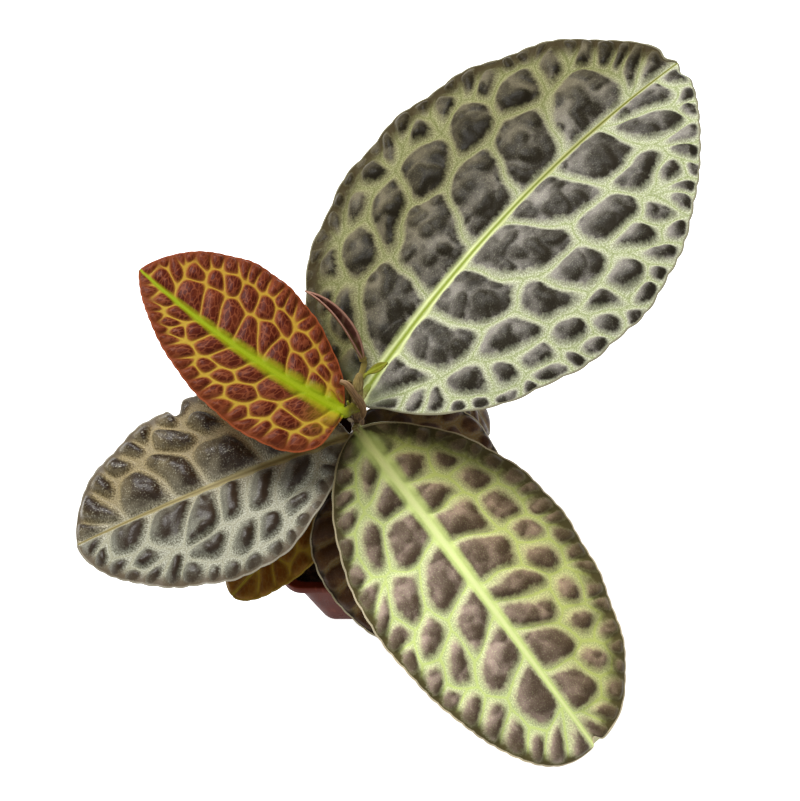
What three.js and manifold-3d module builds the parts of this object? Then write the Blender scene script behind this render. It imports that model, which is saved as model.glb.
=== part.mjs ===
// A potted turtle back labisia: a square plastic nursery pot, its soil, and a short woody stem
// with ten leaves whose blades are puckered into raised islands between a sunken net of veins.
// Millimetres, +Z up. The origin is the centre of the pot's flat underside.
import * as THREE from 'three';
import Module from 'manifold-3d';
import { mergeVertices } from 'three/addons/utils/BufferGeometryUtils.js';

const wasm = await Module();
wasm.setup();

// Driving dimensions of the pot: half widths of its rounded-square sections.
const POT_HEIGHT = 80;
const BASE_HALF = 32;
const RIM_HALF = 45;
const BASE_CORNER = 8;
const RIM_CORNER = 10;
const LIP_DEPTH = 7;
const LIP_STEP = 1.8;
const LIP_ROUND = 0.8;
const LIP_CHAMFER = 0.4;
const MOUTH_ROUND = 0.6;
const WALL = 1.5;
const FLOOR = 1.6;
const DRAIN_RADIUS = 4;
const DRAIN_OFFSET = 17;
const DRAIN_SIDES = 12;
const CORNER_STEPS = 5;

// Driving dimensions of the soil and the stem.
const GAP = 0.3;
const SOIL_TOP = 70;
const SOIL_BUMP = 1.4;
const SOIL_WAVES = [[0.5, 0.21, 0.17, 1.3], [0.3, 0.43, -0.37, 0], [0.2, 0.5, 0.61, 1.6]];
const SOIL_RINGS = 5;
const STEM_HOLE = 4;
const STEM_FOOT = 52;
const STEM_SIDES = 9;
const STEM_PATH = [
  [0, 0, STEM_FOOT], [-1, 0, 70], [-5, 0.5, 100], [-8.5, 2, 130],
  [-9, 3.5, 150], [-8.5, 6, 165], [-7.5, 9, 173],
];
const STEM_RADIUS_BOTTOM = 3.6;
const STEM_RADIUS_TOP = 1.7;
const STEM_TAPER = 1.6;
const STEM_STEPS = 32;
const NODE_SWELL = 0.35;
const NODE_WIDTH = 2.2;

// Driving dimensions that every leaf shares.
const BLADE = 0.8;
const RIB_RISE = 0.5;
const RIB_KEEL = 1;
const TIP_HALF = 0.5;
const PETIOLE_LEAD = 1;
const PETIOLE_SEAT = 0.6;
const PETIOLE_KNEE = 0.55;
const PETIOLE_STEP = 7;
const ROW_START = 0.03;
const ROW_SPAN = 0.95;
const ALONG_JITTER = 0.55;
const ACROSS_JITTER = 0.1;
const LEAST_EDGE = 1.6;
const LEAST_CROWN = 0.5;
const FULL_ROOM = 2.2;
const SHOULDER = 0.8;

// Colours from the photograph.
const TERRACOTTA = 0x8c4230;
const PEAT = 0x1d1712;
const BARK = 0x6b4f36;
const SAGE = 0x7d8a66;
const SILVER = 0x7f8378;
const RUSSET = 0x8a3420;
const OLIVE = 0x5e4a16;
const MAROON = 0x5a3430;
const LIME = 0x6f7a14;

// Each leaf: base and tip of the blade's midrib, its arch and sideways bow, roll and fold in
// degrees, and per side [half width, widest place along the blade, base and tip fullness].
// rows holds [place across the half blade, islands in the row], from the midrib outwards.
const LEAVES = [
  {
    name: 'leaf_large_back_right', node: 151, colour: SILVER, seed: 12, rib: 1.9,
    base: [-5.4, 10.2, 155], tip: [125, 135.3, 215], arch: 5, bow: 7, roll: -8, fold: 8, droop: 0.12,
    left: [76, 0.48, 0.43, 0.6], right: [77, 0.45, 0.52, 0.72], slant: 0.6, wave: 1.2, waves: 6,
    rows: [[0.24, 8], [0.58, 10], [0.81, 13], [0.955, 19]], band: 2.6, dome: 2.2,
  },
  {
    name: 'leaf_long_front_right', node: 145, colour: SAGE, seed: 23, rib: 1.8,
    base: [-9.1, -2.6, 148], tip: [87.1, -114.2, 85], arch: 6, bow: -1, roll: 0, fold: 6, droop: 0.12,
    left: [50, 0.5, 0.61, 0.36], right: [43, 0.42, 0.54, 0.43], slant: 0.45, wave: 1, waves: 6,
    rows: [[0.25, 9], [0.6, 10], [0.82, 13], [0.955, 18]], band: 2.5, dome: 1.7,
  },
  {
    name: 'leaf_left', node: 139, colour: SILVER, seed: 37, rib: 1.6,
    base: [-12.1, -3.2, 143], tip: [-122.4, -43.3, 125], arch: 4, bow: 0, roll: 0, fold: 12, droop: 0.12,
    left: [44, 0.45, 0.85, 0.56], right: [40, 0.45, 0.6, 0.55], slant: 0.5, wave: 1, waves: 5,
    rows: [[0.27, 8], [0.63, 9], [0.88, 13]], band: 1.9, dome: 2.2,
  },
  {
    name: 'leaf_red_back_left', node: 156, colour: RUSSET, seed: 43, rib: 1.6,
    base: [-14.5, -2, 162], tip: [-94.6, 46.6, 190], arch: 0, bow: 3.5, roll: 0, fold: 6, droop: 0.12,
    left: [28.5, 0.26, 0.2, 0.75], right: [37, 0.57, 0.75, 0.52], slant: 0.5, wave: 0.6, waves: 5,
    rows: [[0.26, 9], [0.62, 10], [0.88, 14]], band: 1.1, dome: 1.2,
  },
  {
    name: 'leaf_rolled', node: 164, colour: MAROON, seed: 53, rib: 0.9,
    base: [-7.2, 13.2, 168], tip: [-28.6, 35, 192], arch: 3, bow: 0, roll: -8, fold: 72, droop: 0,
    left: [11, 0.5, 0.8, 0.8], right: [10, 0.5, 0.8, 0.8], slant: 0.4, wave: 0, waves: 1,
    rows: [[0.5, 4]], band: 0.9, dome: 0,
  },
  {
    name: 'leaf_low_right', node: 122, colour: MAROON, seed: 61, rib: 1.2,
    base: [-3.2, 5.3, 127.5], tip: [52.6, 0.6, 105], arch: 4, bow: 0, roll: 0, fold: 10, droop: 0.1,
    left: [19, 0.5, 0.6, 0.55], right: [19, 0.5, 0.6, 0.55], slant: 0.5, wave: 0.6, waves: 4,
    rows: [[0.28, 6], [0.72, 8]], band: 1.6, dome: 1.3,
  },
  {
    name: 'leaf_low_olive', node: 99, colour: OLIVE, seed: 71, rib: 1.2,
    base: [-13.4, -1.9, 104], tip: [-64, -51, 87], arch: 3, bow: 0, roll: 0, fold: 5, droop: 0.1,
    left: [17, 0.5, 0.6, 0.45], right: [21, 0.5, 0.6, 0.45], slant: 0.5, wave: 0.6, waves: 4,
    rows: [[0.28, 6], [0.72, 8]], band: 1.5, dome: 1,
  },
  {
    name: 'leaf_low_front', node: 112, colour: MAROON, seed: 85, rib: 1.2,
    base: [-10, -6, 117], tip: [9, -71, 82], arch: 6, bow: 0, roll: 0, fold: 8, droop: 0.1,
    left: [21, 0.5, 0.6, 0.55], right: [28, 0.42, 0.6, 0.65], slant: 0.5, wave: 0.9, waves: 5,
    rows: [[0.28, 6], [0.72, 8]], band: 1.6, dome: 1.3,
  },
  {
    name: 'leaf_low_back', node: 95, colour: MAROON, seed: 97, rib: 1.1,
    base: [22, 48, 99], tip: [52.5, 43, 60], arch: 16.5, bow: 0, roll: 0, fold: 6, droop: 0.1,
    left: [12, 0.6, 0.8, 0.5], right: [8.5, 0.68, 0.9, 0.45], slant: 0.4, wave: 0.5, waves: 3,
    rows: [[0.28, 5], [0.7, 6]], band: 1.3, dome: 1,
  },
  {
    name: 'leaf_bud', node: 168, colour: LIME, seed: 101, rib: 0.7,
    base: [-4.2, 10.6, 170.5], tip: [3.6, 12.6, 175], arch: 0, bow: 0, roll: 0, fold: 14, droop: 0,
    left: [2, 0.5, 0.7, 0.7], right: [2, 0.5, 0.7, 0.7], slant: 0.3, wave: 0, waves: 1,
    rows: [[0.5, 2]], band: 0.5, dome: 0.1,
  },
];

const UP = new THREE.Vector3(0, 0, 1);

// A closed solid from a geometry, with its shared vertices merged.
function solid(geometry) {
  const bare = new THREE.BufferGeometry().setAttribute('position', geometry.getAttribute('position'));
  if (geometry.index) bare.setIndex(geometry.index);
  const merged = mergeVertices(bare, 1e-4);
  return new wasm.Manifold(new wasm.Mesh({
    numProp: 3,
    vertProperties: merged.attributes.position.array,
    triVerts: new Uint32Array(merged.index.array),
  }));
}

function geometryOf(body) {
  const mesh = body.getMesh();
  const places = new Float32Array(mesh.numVert * 3);
  for (let i = 0; i < mesh.numVert; i++) {
    places.set(mesh.vertProperties.subarray(i * mesh.numProp, i * mesh.numProp + 3), i * 3);
  }
  const geometry = new THREE.BufferGeometry();
  geometry.setAttribute('position', new THREE.BufferAttribute(places, 3));
  geometry.setIndex(new THREE.BufferAttribute(mesh.triVerts, 1));
  geometry.computeVertexNormals();
  return geometry;
}

function faceted(points, triangles) {
  const geometry = new THREE.BufferGeometry();
  geometry.setAttribute('position', new THREE.Float32BufferAttribute(points.flat(), 3));
  geometry.setIndex(triangles);
  return geometry;
}

// Rings of equal point count, joined in order and closed by a fan at each end.
function loft(rings, firstCentre, lastCentre) {
  const count = rings[0].length;
  const points = [...rings.flat(), firstCentre, lastCentre];
  const first = points.length - 2;
  const last = points.length - 1;
  const triangles = [];
  for (let i = 0; i < count; i++) {
    const j = (i + 1) % count;
    triangles.push(first, j, i);
    for (let r = 0; r + 1 < rings.length; r++) {
      const a = r * count;
      const b = a + count;
      triangles.push(a + i, a + j, b + j, a + i, b + j, b + i);
    }
    const end = (rings.length - 1) * count;
    triangles.push(last, end + i, end + j);
  }
  return faceted(points, triangles);
}

// A tube along a smooth curve, with its own radius at each step.
function taperedTube(places, radiusAt, steps, sides) {
  const curve = new THREE.CatmullRomCurve3(places.map((p) => new THREE.Vector3(...p)));
  const frames = curve.computeFrenetFrames(steps, false);
  const rings = [];
  for (let s = 0; s <= steps; s++) {
    const centre = curve.getPointAt(s / steps);
    const radius = radiusAt(s / steps, centre);
    const ring = [];
    for (let k = 0; k < sides; k++) {
      const turn = (2 * Math.PI * k) / sides;
      const point = centre.clone()
        .addScaledVector(frames.normals[s], radius * Math.cos(turn))
        .addScaledVector(frames.binormals[s], radius * Math.sin(turn));
      ring.push(point.toArray());
    }
    rings.push(ring);
  }
  return loft(rings, curve.getPointAt(0).toArray(), curve.getPointAt(1).toArray());
}

// A square section with round corners, counter-clockwise from above.
function roundedSquare(half, corner, z) {
  const ring = [];
  for (let quarter = 0; quarter < 4; quarter++) {
    const sx = quarter === 0 || quarter === 3 ? 1 : -1;
    const sy = quarter < 2 ? 1 : -1;
    for (let k = 0; k <= CORNER_STEPS; k++) {
      const turn = (Math.PI / 2) * (quarter + k / CORNER_STEPS);
      ring.push([
        sx * (half - corner) + corner * Math.cos(turn),
        sy * (half - corner) + corner * Math.sin(turn),
        z,
      ]);
    }
  }
  return ring;
}

function wallHalf(z) {
  return BASE_HALF + (RIM_HALF - LIP_STEP - BASE_HALF) * (z / POT_HEIGHT);
}

function wallCorner(z) {
  return BASE_CORNER + (RIM_CORNER - BASE_CORNER) * (z / POT_HEIGHT);
}

function section(z, inset) {
  return roundedSquare(wallHalf(z) - inset, wallCorner(z) - inset, z);
}

function makePot() {
  const lipFoot = POT_HEIGHT - LIP_DEPTH;
  const rings = [
    section(0, 0),
    section(lipFoot, 0),
    roundedSquare(RIM_HALF - LIP_CHAMFER, RIM_CORNER, lipFoot + LIP_CHAMFER),
    roundedSquare(RIM_HALF, RIM_CORNER, POT_HEIGHT - LIP_ROUND),
    roundedSquare(RIM_HALF - LIP_ROUND, RIM_CORNER - LIP_ROUND, POT_HEIGHT),
    section(POT_HEIGHT, WALL - MOUTH_ROUND),
    section(POT_HEIGHT - MOUTH_ROUND, WALL),
    section(FLOOR, WALL),
  ];
  let body = solid(loft(rings, [0, 0, 0], [0, 0, FLOOR]));
  for (const sx of [-1, 1]) {
    for (const sy of [-1, 1]) {
      const drill = new THREE.CylinderGeometry(DRAIN_RADIUS, DRAIN_RADIUS, 4 * FLOOR, DRAIN_SIDES);
      drill.rotateX(Math.PI / 2);
      drill.translate(sx * DRAIN_OFFSET, sy * DRAIN_OFFSET, 0);
      body = body.subtract(solid(drill));
    }
  }
  return body;
}

function stemShare(z) {
  const top = STEM_PATH[STEM_PATH.length - 1][2];
  return (z - STEM_FOOT) / (top - STEM_FOOT);
}

function stemRadius(share, centre) {
  const plain = STEM_RADIUS_BOTTOM + (STEM_RADIUS_TOP - STEM_RADIUS_BOTTOM) * share ** STEM_TAPER;
  const swell = LEAVES.reduce(
    (sum, { node }) => sum + NODE_SWELL * Math.exp(-(((centre.z - node) / NODE_WIDTH) ** 2)),
    0,
  );
  return plain + swell;
}

function makeStem() {
  return solid(taperedTube(STEM_PATH, stemRadius, STEM_STEPS, STEM_SIDES));
}

function soilHeight(x, y) {
  const bump = SOIL_WAVES.reduce(
    (sum, [share, alongX, alongY, phase]) => sum + share * Math.sin(alongX * x + alongY * y + phase),
    0,
  );
  return SOIL_TOP + SOIL_BUMP * bump;
}

// The soil fills the pot. Its bumpy top runs in rings from the wall to a plain hole for the stem.
function makeSoil() {
  const inset = WALL + GAP;
  const foot = FLOOR + GAP;
  const outer = section(SOIL_TOP, inset);
  const hole = (centre) => outer.map((_, i) => {
    const turn = (2 * Math.PI * i) / outer.length;
    return [centre[0] + STEM_HOLE * Math.cos(turn), centre[1] + STEM_HOLE * Math.sin(turn), centre[2]];
  });
  const mouth = hole(STEM_PATH[1]);
  const top = Array.from({ length: SOIL_RINGS + 1 }, (_, k) => outer.map(([x, y], i) => {
    const share = k / SOIL_RINGS;
    const [nx, ny] = [x + share * (mouth[i][0] - x), y + share * (mouth[i][1] - y)];
    return [nx, ny, soilHeight(nx, ny)];
  }));
  const bottom = [STEM_PATH[0][0], STEM_PATH[0][1], STEM_FOOT - GAP];
  return solid(loft([section(foot, inset), ...top, hole(bottom)], [0, 0, foot], bottom));
}

// The midrib's point, direction, side and upward normal at a share of the blade's length.
function ribFrame(leaf, t) {
  const start = new THREE.Vector3(...leaf.base);
  const end = new THREE.Vector3(...leaf.tip);
  const chord = end.clone().sub(start);
  const across = new THREE.Vector3(-chord.y, chord.x, 0).normalize();
  const middle = start.clone().add(end).multiplyScalar(0.5)
    .addScaledVector(UP, 2 * leaf.arch).addScaledVector(across, 2 * leaf.bow);
  const curve = new THREE.QuadraticBezierCurve3(start, middle, end);
  const place = curve.getPoint(t);
  const along = curve.getTangent(t);
  const flat = UP.clone().cross(along).normalize();
  const lift = along.clone().cross(flat);
  const roll = THREE.MathUtils.degToRad(leaf.roll);
  const side = flat.clone().multiplyScalar(Math.cos(roll)).addScaledVector(lift, Math.sin(roll));
  const normal = lift.multiplyScalar(Math.cos(roll)).addScaledVector(flat, -Math.sin(roll));
  return { place, along, side, normal };
}

// The half width of the blade, which never gets narrower than its petiole at the base.
function halfWidth(leaf, t, hand) {
  const [width, widest, base, tip] = hand > 0 ? leaf.left : leaf.right;
  const share = t < widest
    ? Math.sin((Math.PI / 2) * (t / widest)) ** base
    : Math.max(0, Math.cos((Math.PI / 2) * ((t - widest) / (1 - widest)))) ** tip;
  return Math.max(leaf.rib * (1 - t) + TIP_HALF * t, width * share);
}

// A point of the blade's middle surface. hand is 1 on the left of the midrib and -1 on the right.
function bladePoint(leaf, t0, v, hand, height) {
  const t = t0 + leaf.slant * v * t0 * (1 - t0);
  const { place, side, normal } = ribFrame(leaf, t);
  const reach = v * halfWidth(leaf, t, hand);
  const fold = THREE.MathUtils.degToRad(leaf.fold);
  const lift = reach * Math.sin(fold) - (leaf.droop * reach * reach) / leaf.left[0]
    + leaf.wave * v ** 3 * Math.sin(2 * Math.PI * leaf.waves * t + hand) + height;
  return place.clone().addScaledVector(side, hand * reach * Math.cos(fold)).addScaledVector(normal, lift);
}

// Park and Miller's generator, so that each leaf's islands are the same every time.
function seededDraws(seed) {
  let state = seed;
  return () => {
    state = (state * 16807) % 2147483647;
    return state / 2147483647;
  };
}

function islandSeeds(leaf) {
  const draw = seededDraws(leaf.seed);
  const hands = {};
  for (const hand of [1, -1]) {
    hands[hand] = [];
    for (const [across, count] of leaf.rows) {
      for (let i = 0; i < count; i++) {
        const t = ROW_START + (ROW_SPAN * (i + 0.5 + ALONG_JITTER * (draw() - 0.5))) / count;
        const v = across + ACROSS_JITTER * (draw() - 0.5);
        hands[hand].push([t, v]);
      }
    }
  }
  return hands;
}

// The part of a polygon that is nearer to one point than to another.
function nearerPart(polygon, mine, other) {
  const keep = (p) => Math.hypot(p[0] - mine[0], p[1] - mine[1]) ** 2
    - Math.hypot(p[0] - other[0], p[1] - other[1]) ** 2;
  const kept = [];
  polygon.forEach((a, i) => {
    const b = polygon[(i + 1) % polygon.length];
    const da = keep(a);
    const db = keep(b);
    if (da <= 0) kept.push(a);
    if ((da < 0 && db > 0) || (da > 0 && db < 0)) {
      const s = da / (da - db);
      kept.push([a[0] + s * (b[0] - a[0]), a[1] + s * (b[1] - a[1])]);
    }
  });
  return kept;
}

// Each island's polygon in millimetres along and across one half of the blade.
function islands(seeds, long, wide) {
  const places = seeds.map(([t, v]) => [t * long, v * wide]);
  return places.map((mine, i) => places.reduce(
    (polygon, other, j) => (i === j ? polygon : nearerPart(polygon, mine, other)),
    [[0, 0], [long, 0], [long, wide], [0, wide]],
  ));
}

function centreOf(polygon) {
  const sum = polygon.reduce((s, p) => [s[0] + p[0], s[1] + p[1]], [0, 0]);
  return [sum[0] / polygon.length, sum[1] / polygon.length];
}

function nearestEdge(polygon, p) {
  return Math.min(...polygon.map((a, i) => {
    const b = polygon[(i + 1) % polygon.length];
    const long = Math.hypot(b[0] - a[0], b[1] - a[1]) || 1;
    return Math.abs((b[0] - a[0]) * (p[1] - a[1]) - (b[1] - a[1]) * (p[0] - a[0])) / long;
  }));
}

// A polygon with its corners on a coarse grid that keeps the blade's ends, so that no edge is very short.
function snapped(polygon, long, wide) {
  const snap = (place, whole) => {
    const steps = Math.round(whole / LEAST_EDGE);
    return (Math.round((place * steps) / whole) * whole) / steps;
  };
  const places = polygon.map(([x, y]) => [snap(x, long), snap(y, wide)]);
  const last = places.length - 1;
  return places.filter(([x, y], i) => {
    const [px, py] = places[i ? i - 1 : last];
    return x !== px || y !== py;
  });
}

// One half's polygons get the other half's corners on the midrib, so that the halves meet.
function withMidribCorners(polygon, stops) {
  return polygon.flatMap((a, i) => {
    const b = polygon[(i + 1) % polygon.length];
    if (a[1] > 1e-6 || b[1] > 1e-6) return [a];
    const [low, high] = [Math.min(a[0], b[0]) + 1e-4, Math.max(a[0], b[0]) - 1e-4];
    const between = stops.filter((x) => x > low && x < high);
    between.sort((x, y) => (b[0] > a[0] ? x - y : y - x));
    return [a, ...between.map((x) => [x, 0])];
  });
}

// A leaf. An island rises inside each polygon of its blade, and the net stays low between them.
function makeLeaf(leaf) {
  const long = new THREE.Vector3(...leaf.base).distanceTo(new THREE.Vector3(...leaf.tip));
  const wide = leaf.left[0];
  const seeds = islandSeeds(leaf);
  const halves = [1, -1].map((hand) => ({ hand, polygons: islands(seeds[hand], long, wide) }));
  const stops = [...new Set(halves.flatMap(({ polygons }) => polygons.flat())
    .filter((p) => p[1] < 1e-6).map((p) => Number(p[0].toFixed(4))))];
  const netCorners = new Map();
  const sheet = [];
  const triangles = [];
  const raised = (hand, [x, y], height) => sheet.push({ t: x / long, v: y / wide, hand, height }) - 1;
  const netCorner = (hand, place) => {
    const key = [place[1] === 0 ? 0 : hand, ...place].join();
    if (!netCorners.has(key)) netCorners.set(key, raised(hand, place, 0));
    return netCorners.get(key);
  };
  for (const { hand, polygons } of halves) {
    for (const rough of polygons) {
      const polygon = snapped(withMidribCorners(rough, stops), long, wide);
      if (polygon.length < 3) continue;
      const centre = centreOf(polygon);
      const room = nearestEdge(polygon, centre);
      const narrow = halfWidth(leaf, centre[0] / long, hand) / wide;
      const height = leaf.dome * Math.min(1, room / (FULL_ROOM * leaf.band), FULL_ROOM * narrow);
      const shrink = 1 - leaf.band / room;
      const outer = polygon.map((p) => netCorner(hand, p));
      const top = raised(hand, centre, height);
      const inner = shrink < LEAST_CROWN ? null : polygon.map((p) => raised(
        hand,
        [centre[0] + (p[0] - centre[0]) * shrink, centre[1] + (p[1] - centre[1]) * shrink],
        SHOULDER * height,
      ));
      outer.forEach((a, i) => {
        const j = (i + 1) % outer.length;
        const b = outer[j];
        const fan = inner
          ? [[a, b, inner[j]], [a, inner[j], inner[i]], [inner[i], inner[j], top]]
          : [[a, b, top]];
        triangles.push(...fan.map(([p, q, r]) => (hand > 0 ? [p, q, r] : [p, r, q])));
      });
    }
  }
  const points = [];
  for (const face of [1, -1]) {
    for (const { t, v, hand, height } of sheet) {
      const rib = v === 0 ? leaf.rib * (1 - t) * (face > 0 ? RIB_RISE : RIB_KEEL) : 0;
      points.push(bladePoint(leaf, t, v, hand, height + face * (BLADE / 2 + rib)).toArray());
    }
  }
  return closedLeaf(leaf, points, triangles, sheet);
}

// Both faces of the blade, the wall along its free edge, and the petiole in place of the wall at its base.
// The lower face's corners follow the upper's.
function closedLeaf(leaf, points, triangles, sheet) {
  const count = sheet.length;
  const edges = new Set(triangles.flatMap(([a, b, c]) => [`${a},${b}`, `${b},${c}`, `${c},${a}`]));
  const all = triangles.flatMap(([a, b, c]) => [a, b, c, a + count, c + count, b + count]);
  const across = (i) => sheet[i].hand * sheet[i].v;
  const base = new Set();
  let rising = false;
  for (const edge of edges) {
    const [a, b] = edge.split(',').map(Number);
    if (edges.has(`${b},${a}`)) continue;
    if (sheet[a].t === 0 && sheet[b].t === 0) {
      base.add(a).add(b);
      rising = across(b) > across(a);
    } else {
      all.push(a, a + count, b + count, a, b + count, b);
    }
  }
  const upper = [...base].sort((a, b) => (rising ? 1 : -1) * (across(a) - across(b)));
  let ring = [...upper, ...[...upper].reverse().map((i) => i + count)];
  const sections = petiole(leaf);
  for (const { centre, side, normal } of sections) {
    const next = ring.map((_, k) => {
      const share = (k + 0.5) / upper.length;
      const turn = Math.PI * (rising ? 1 - share : share);
      const place = centre.clone()
        .addScaledVector(side, leaf.rib * Math.cos(turn))
        .addScaledVector(normal, leaf.rib * Math.sin(turn));
      return points.push(place.toArray()) - 1;
    });
    ring.forEach((p, k) => {
      const m = (k + 1) % ring.length;
      all.push(ring[m], p, next[k], ring[m], next[k], next[m]);
    });
    ring = next;
  }
  const end = points.push(sections[sections.length - 1].centre.toArray()) - 1;
  ring.forEach((p, k) => all.push(ring[(k + 1) % ring.length], p, end));
  return solid(faceted(points, all));
}

function stemPoint(z) {
  const next = STEM_PATH.findIndex((p) => p[2] > z);
  const [a, b] = [STEM_PATH[next - 1], STEM_PATH[next]].map((p) => new THREE.Vector3(...p));
  return a.lerp(b, (z - a.z) / (b.z - a.z));
}

// The petiole's sections from the blade's base to just short of the stem.
function petiole(leaf) {
  const axis = stemPoint(leaf.node);
  const { place, along, side, normal } = ribFrame(leaf, 0);
  const lead = place.clone().addScaledVector(along, -PETIOLE_LEAD);
  const reach = lead.clone().sub(axis);
  const slope = Math.abs(reach.z) / reach.length();
  const clear = stemRadius(stemShare(leaf.node), axis) + PETIOLE_SEAT + slope * leaf.rib;
  const foot = axis.clone().addScaledVector(reach.setZ(0).normalize(), clear);
  const knee = lead.clone().lerp(foot, 1 - PETIOLE_KNEE);
  const curve = new THREE.CatmullRomCurve3([place, lead, knee, foot]);
  const steps = 2 + Math.round(curve.getLength() / PETIOLE_STEP);
  return Array.from({ length: steps }, (_, k) => {
    const share = (k + 1) / steps;
    const back = curve.getTangentAt(share);
    side.addScaledVector(back, -side.dot(back)).normalize();
    normal.addScaledVector(back, -normal.dot(back)).addScaledVector(side, -normal.dot(side)).normalize();
    return { centre: curve.getPointAt(share), side: side.clone(), normal: normal.clone() };
  });
}

const part = new THREE.Group();

function addPart(name, body, colour, roughness) {
  const material = new THREE.MeshStandardMaterial({ color: colour, roughness, metalness: 0 });
  const mesh = new THREE.Mesh(geometryOf(body), material);
  mesh.name = name;
  part.add(mesh);
}

addPart('pot', makePot(), TERRACOTTA, 0.35);
addPart('soil', makeSoil(), PEAT, 0.95);
addPart('stem', makeStem(), BARK, 0.8);
for (const leaf of LEAVES) {
  addPart(leaf.name, makeLeaf(leaf), leaf.colour, 0.6);
}

export default part;
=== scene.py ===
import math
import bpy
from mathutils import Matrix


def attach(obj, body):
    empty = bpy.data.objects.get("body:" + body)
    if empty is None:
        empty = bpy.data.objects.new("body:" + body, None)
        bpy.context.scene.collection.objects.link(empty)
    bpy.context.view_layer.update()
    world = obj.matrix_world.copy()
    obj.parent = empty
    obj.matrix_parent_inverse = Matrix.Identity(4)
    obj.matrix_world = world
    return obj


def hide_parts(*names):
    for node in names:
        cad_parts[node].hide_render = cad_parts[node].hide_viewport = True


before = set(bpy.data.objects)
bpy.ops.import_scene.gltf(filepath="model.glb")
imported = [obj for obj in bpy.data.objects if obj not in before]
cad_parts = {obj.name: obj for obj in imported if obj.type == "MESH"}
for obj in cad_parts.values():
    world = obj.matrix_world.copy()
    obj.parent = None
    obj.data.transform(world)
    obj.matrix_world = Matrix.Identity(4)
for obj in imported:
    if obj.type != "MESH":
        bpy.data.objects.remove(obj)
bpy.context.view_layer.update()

# The looks of a potted turtle back labisia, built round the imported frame.
# Lengths are millimetres until a mesh is made, which is in metres.
from types import SimpleNamespace

import bmesh
import bpy
import numpy as np
from mathutils import Vector

MM = 0.001
UP = np.array([0.0, 0.0, 1.0])
CURVE_STEPS = 60
LENGTH_STEPS = 240

# The camera looks down along +Y at the photograph's angle. Its clip start is in metres.
CAMERA_TARGET = (8.4, 6.6, 156.0)
CAMERA_DISTANCE = 450.0
CAMERA_ELEVATION = 60.0
CAMERA_LENS = 50.0
CLIP_START = 0.01

# Lights, with places in millimetres, sizes in metres and energies in watts. The floor is a large square.
LIGHTS = (
    dict(name="key", place=(-300, 340, 900), size=0.45, energy=9.5),
    dict(name="fill", place=(300, -600, 700), size=0.9, energy=0.8),
)
SKY_STRENGTH = 0.42
FLOOR_HALF = 9000.0

# The pot: half widths, heights and roundings, then the steps of its rings and the drain holes.
POT_HEIGHT = 80.0
BASE_HALF = 32.0
RIM_HALF = 45.0
BASE_CORNER = 8.0
RIM_CORNER = 10.0
LIP_DEPTH = 7.0
LIP_STEP = 1.8
LIP_ROUND = 0.8
FOOT_ROUND = 0.8
MOUTH_ROUND = 0.7
CORNER_CHANGE = 0.4
WALL = 1.5
FLOOR = 1.6
MOUTH_STEPS = 5
INNER_STEPS = 12
DRAIN_RADIUS = 4.0
DRAIN_OFFSET = 17.0
DRILL_SIDES = 40
DRILL_HEIGHTS = (-3.0, 6.0)
CORNER_STEPS = 14
SIDE_STEPS = 10

# The soil with its crumbs, and the stem with its scars.
GAP = 0.3
SOIL_TOP = 70.0
SOIL_BUMP = 1.4
SOIL_WAVES = ((0.5, 0.21, 0.17, 1.3), (0.3, 0.43, -0.37, 0.0), (0.2, 0.5, 0.61, 1.6))
SOIL_HALF = 40.0
SOIL_COARSE = 0.55
SOIL_FINE = 0.3
SOIL_SIDE_STEPS = 34
SOIL_RINGS = 24
SOIL_TOP_RINGS = 60
CRUMBS = 330
CRUMB_SIZES = (0.35, 1.3)
CRUMB_ROOM = 1.5
CRUMB_BIAS = 1.3
CRUMB_STRETCH = (0.6, 1.5)
CRUMB_DENTS = 0.25
CRUMB_RISE = 0.25
CRUMB_FLAT = 0.7
STEM_HOLE = 4.0
STEM_FOOT = 52.0
STEM_PATH = (
    (0, 0, 52), (-1, 0, 70), (-5, 0.5, 100), (-8.5, 2, 130), (-9, 3.5, 150), (-8.5, 6, 165), (-7.5, 9, 173),
)
STEM_RADIUS_BOTTOM = 3.6
STEM_RADIUS_TOP = 1.7
STEM_TAPER = 1.6
STEM_ROUND_FROM = 0.97
STEM_RINGS, STEM_SIDES = 300, 44
NODE_SWELL = 0.35
NODE_WIDTH = 2.2
SCAR_BELOW = 1.6
SCAR_WIDTH = 0.35
BARK_ROUGHNESS = 0.07
BARK_RIDGES = 0.08
SCAR_DEPTH = 0.12

# What every leaf shares.
BLADE = 0.7
RIM_BLADE = 0.42
RIB_KEEL = 1.0
TIP_HALF = 0.5
PETIOLE_LEAD = 1.0
PETIOLE_KNEE = 0.55
PETIOLE_FOOT = 0.8
PETIOLE_START = 0.035
PETIOLE_WIDTH = 0.75
PETIOLE_SWELL = 0.3
PETIOLE_FOOT_SWELL = 0.25
PETIOLE_DEPTH = 0.9
PETIOLE_GROOVE = 0.25
ROW_START = 0.03
ROW_SPAN = 0.95
ALONG_JITTER = 0.55
ACROSS_JITTER = 0.1
FULL_ROOM = 2.2
CROWDED = 0.31
ISLAND_BEND = 0.4
ISLAND_WAVE = 9.0
ISLAND_SOFT = 0.5
LUMP_BEND = 0.16
LUMP_WAVE = 1.6
LUMP_JITTER = 0.6
LUMP_SPREAD = 0.2
RIB_CREST = 0.42
RIB_GROOVE = 0.1
END_SHARE = 0.12
MIDDLE_STEP = 0.62
SHALLOW_WIDTH = 4.0
COARSE = 3
FAR_FROM_NET = 6.0

# What leaves have unless their own entry says otherwise.
COMMON = dict(
    rib=1.2, bow=0, roll=0, droop=0.1, slant=0.5, rows=((0.28, 6), (0.72, 8)), rows_left=(), scallop=0.3,
    shade=(0, 0), nicks=(), dents=(),
)

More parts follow.
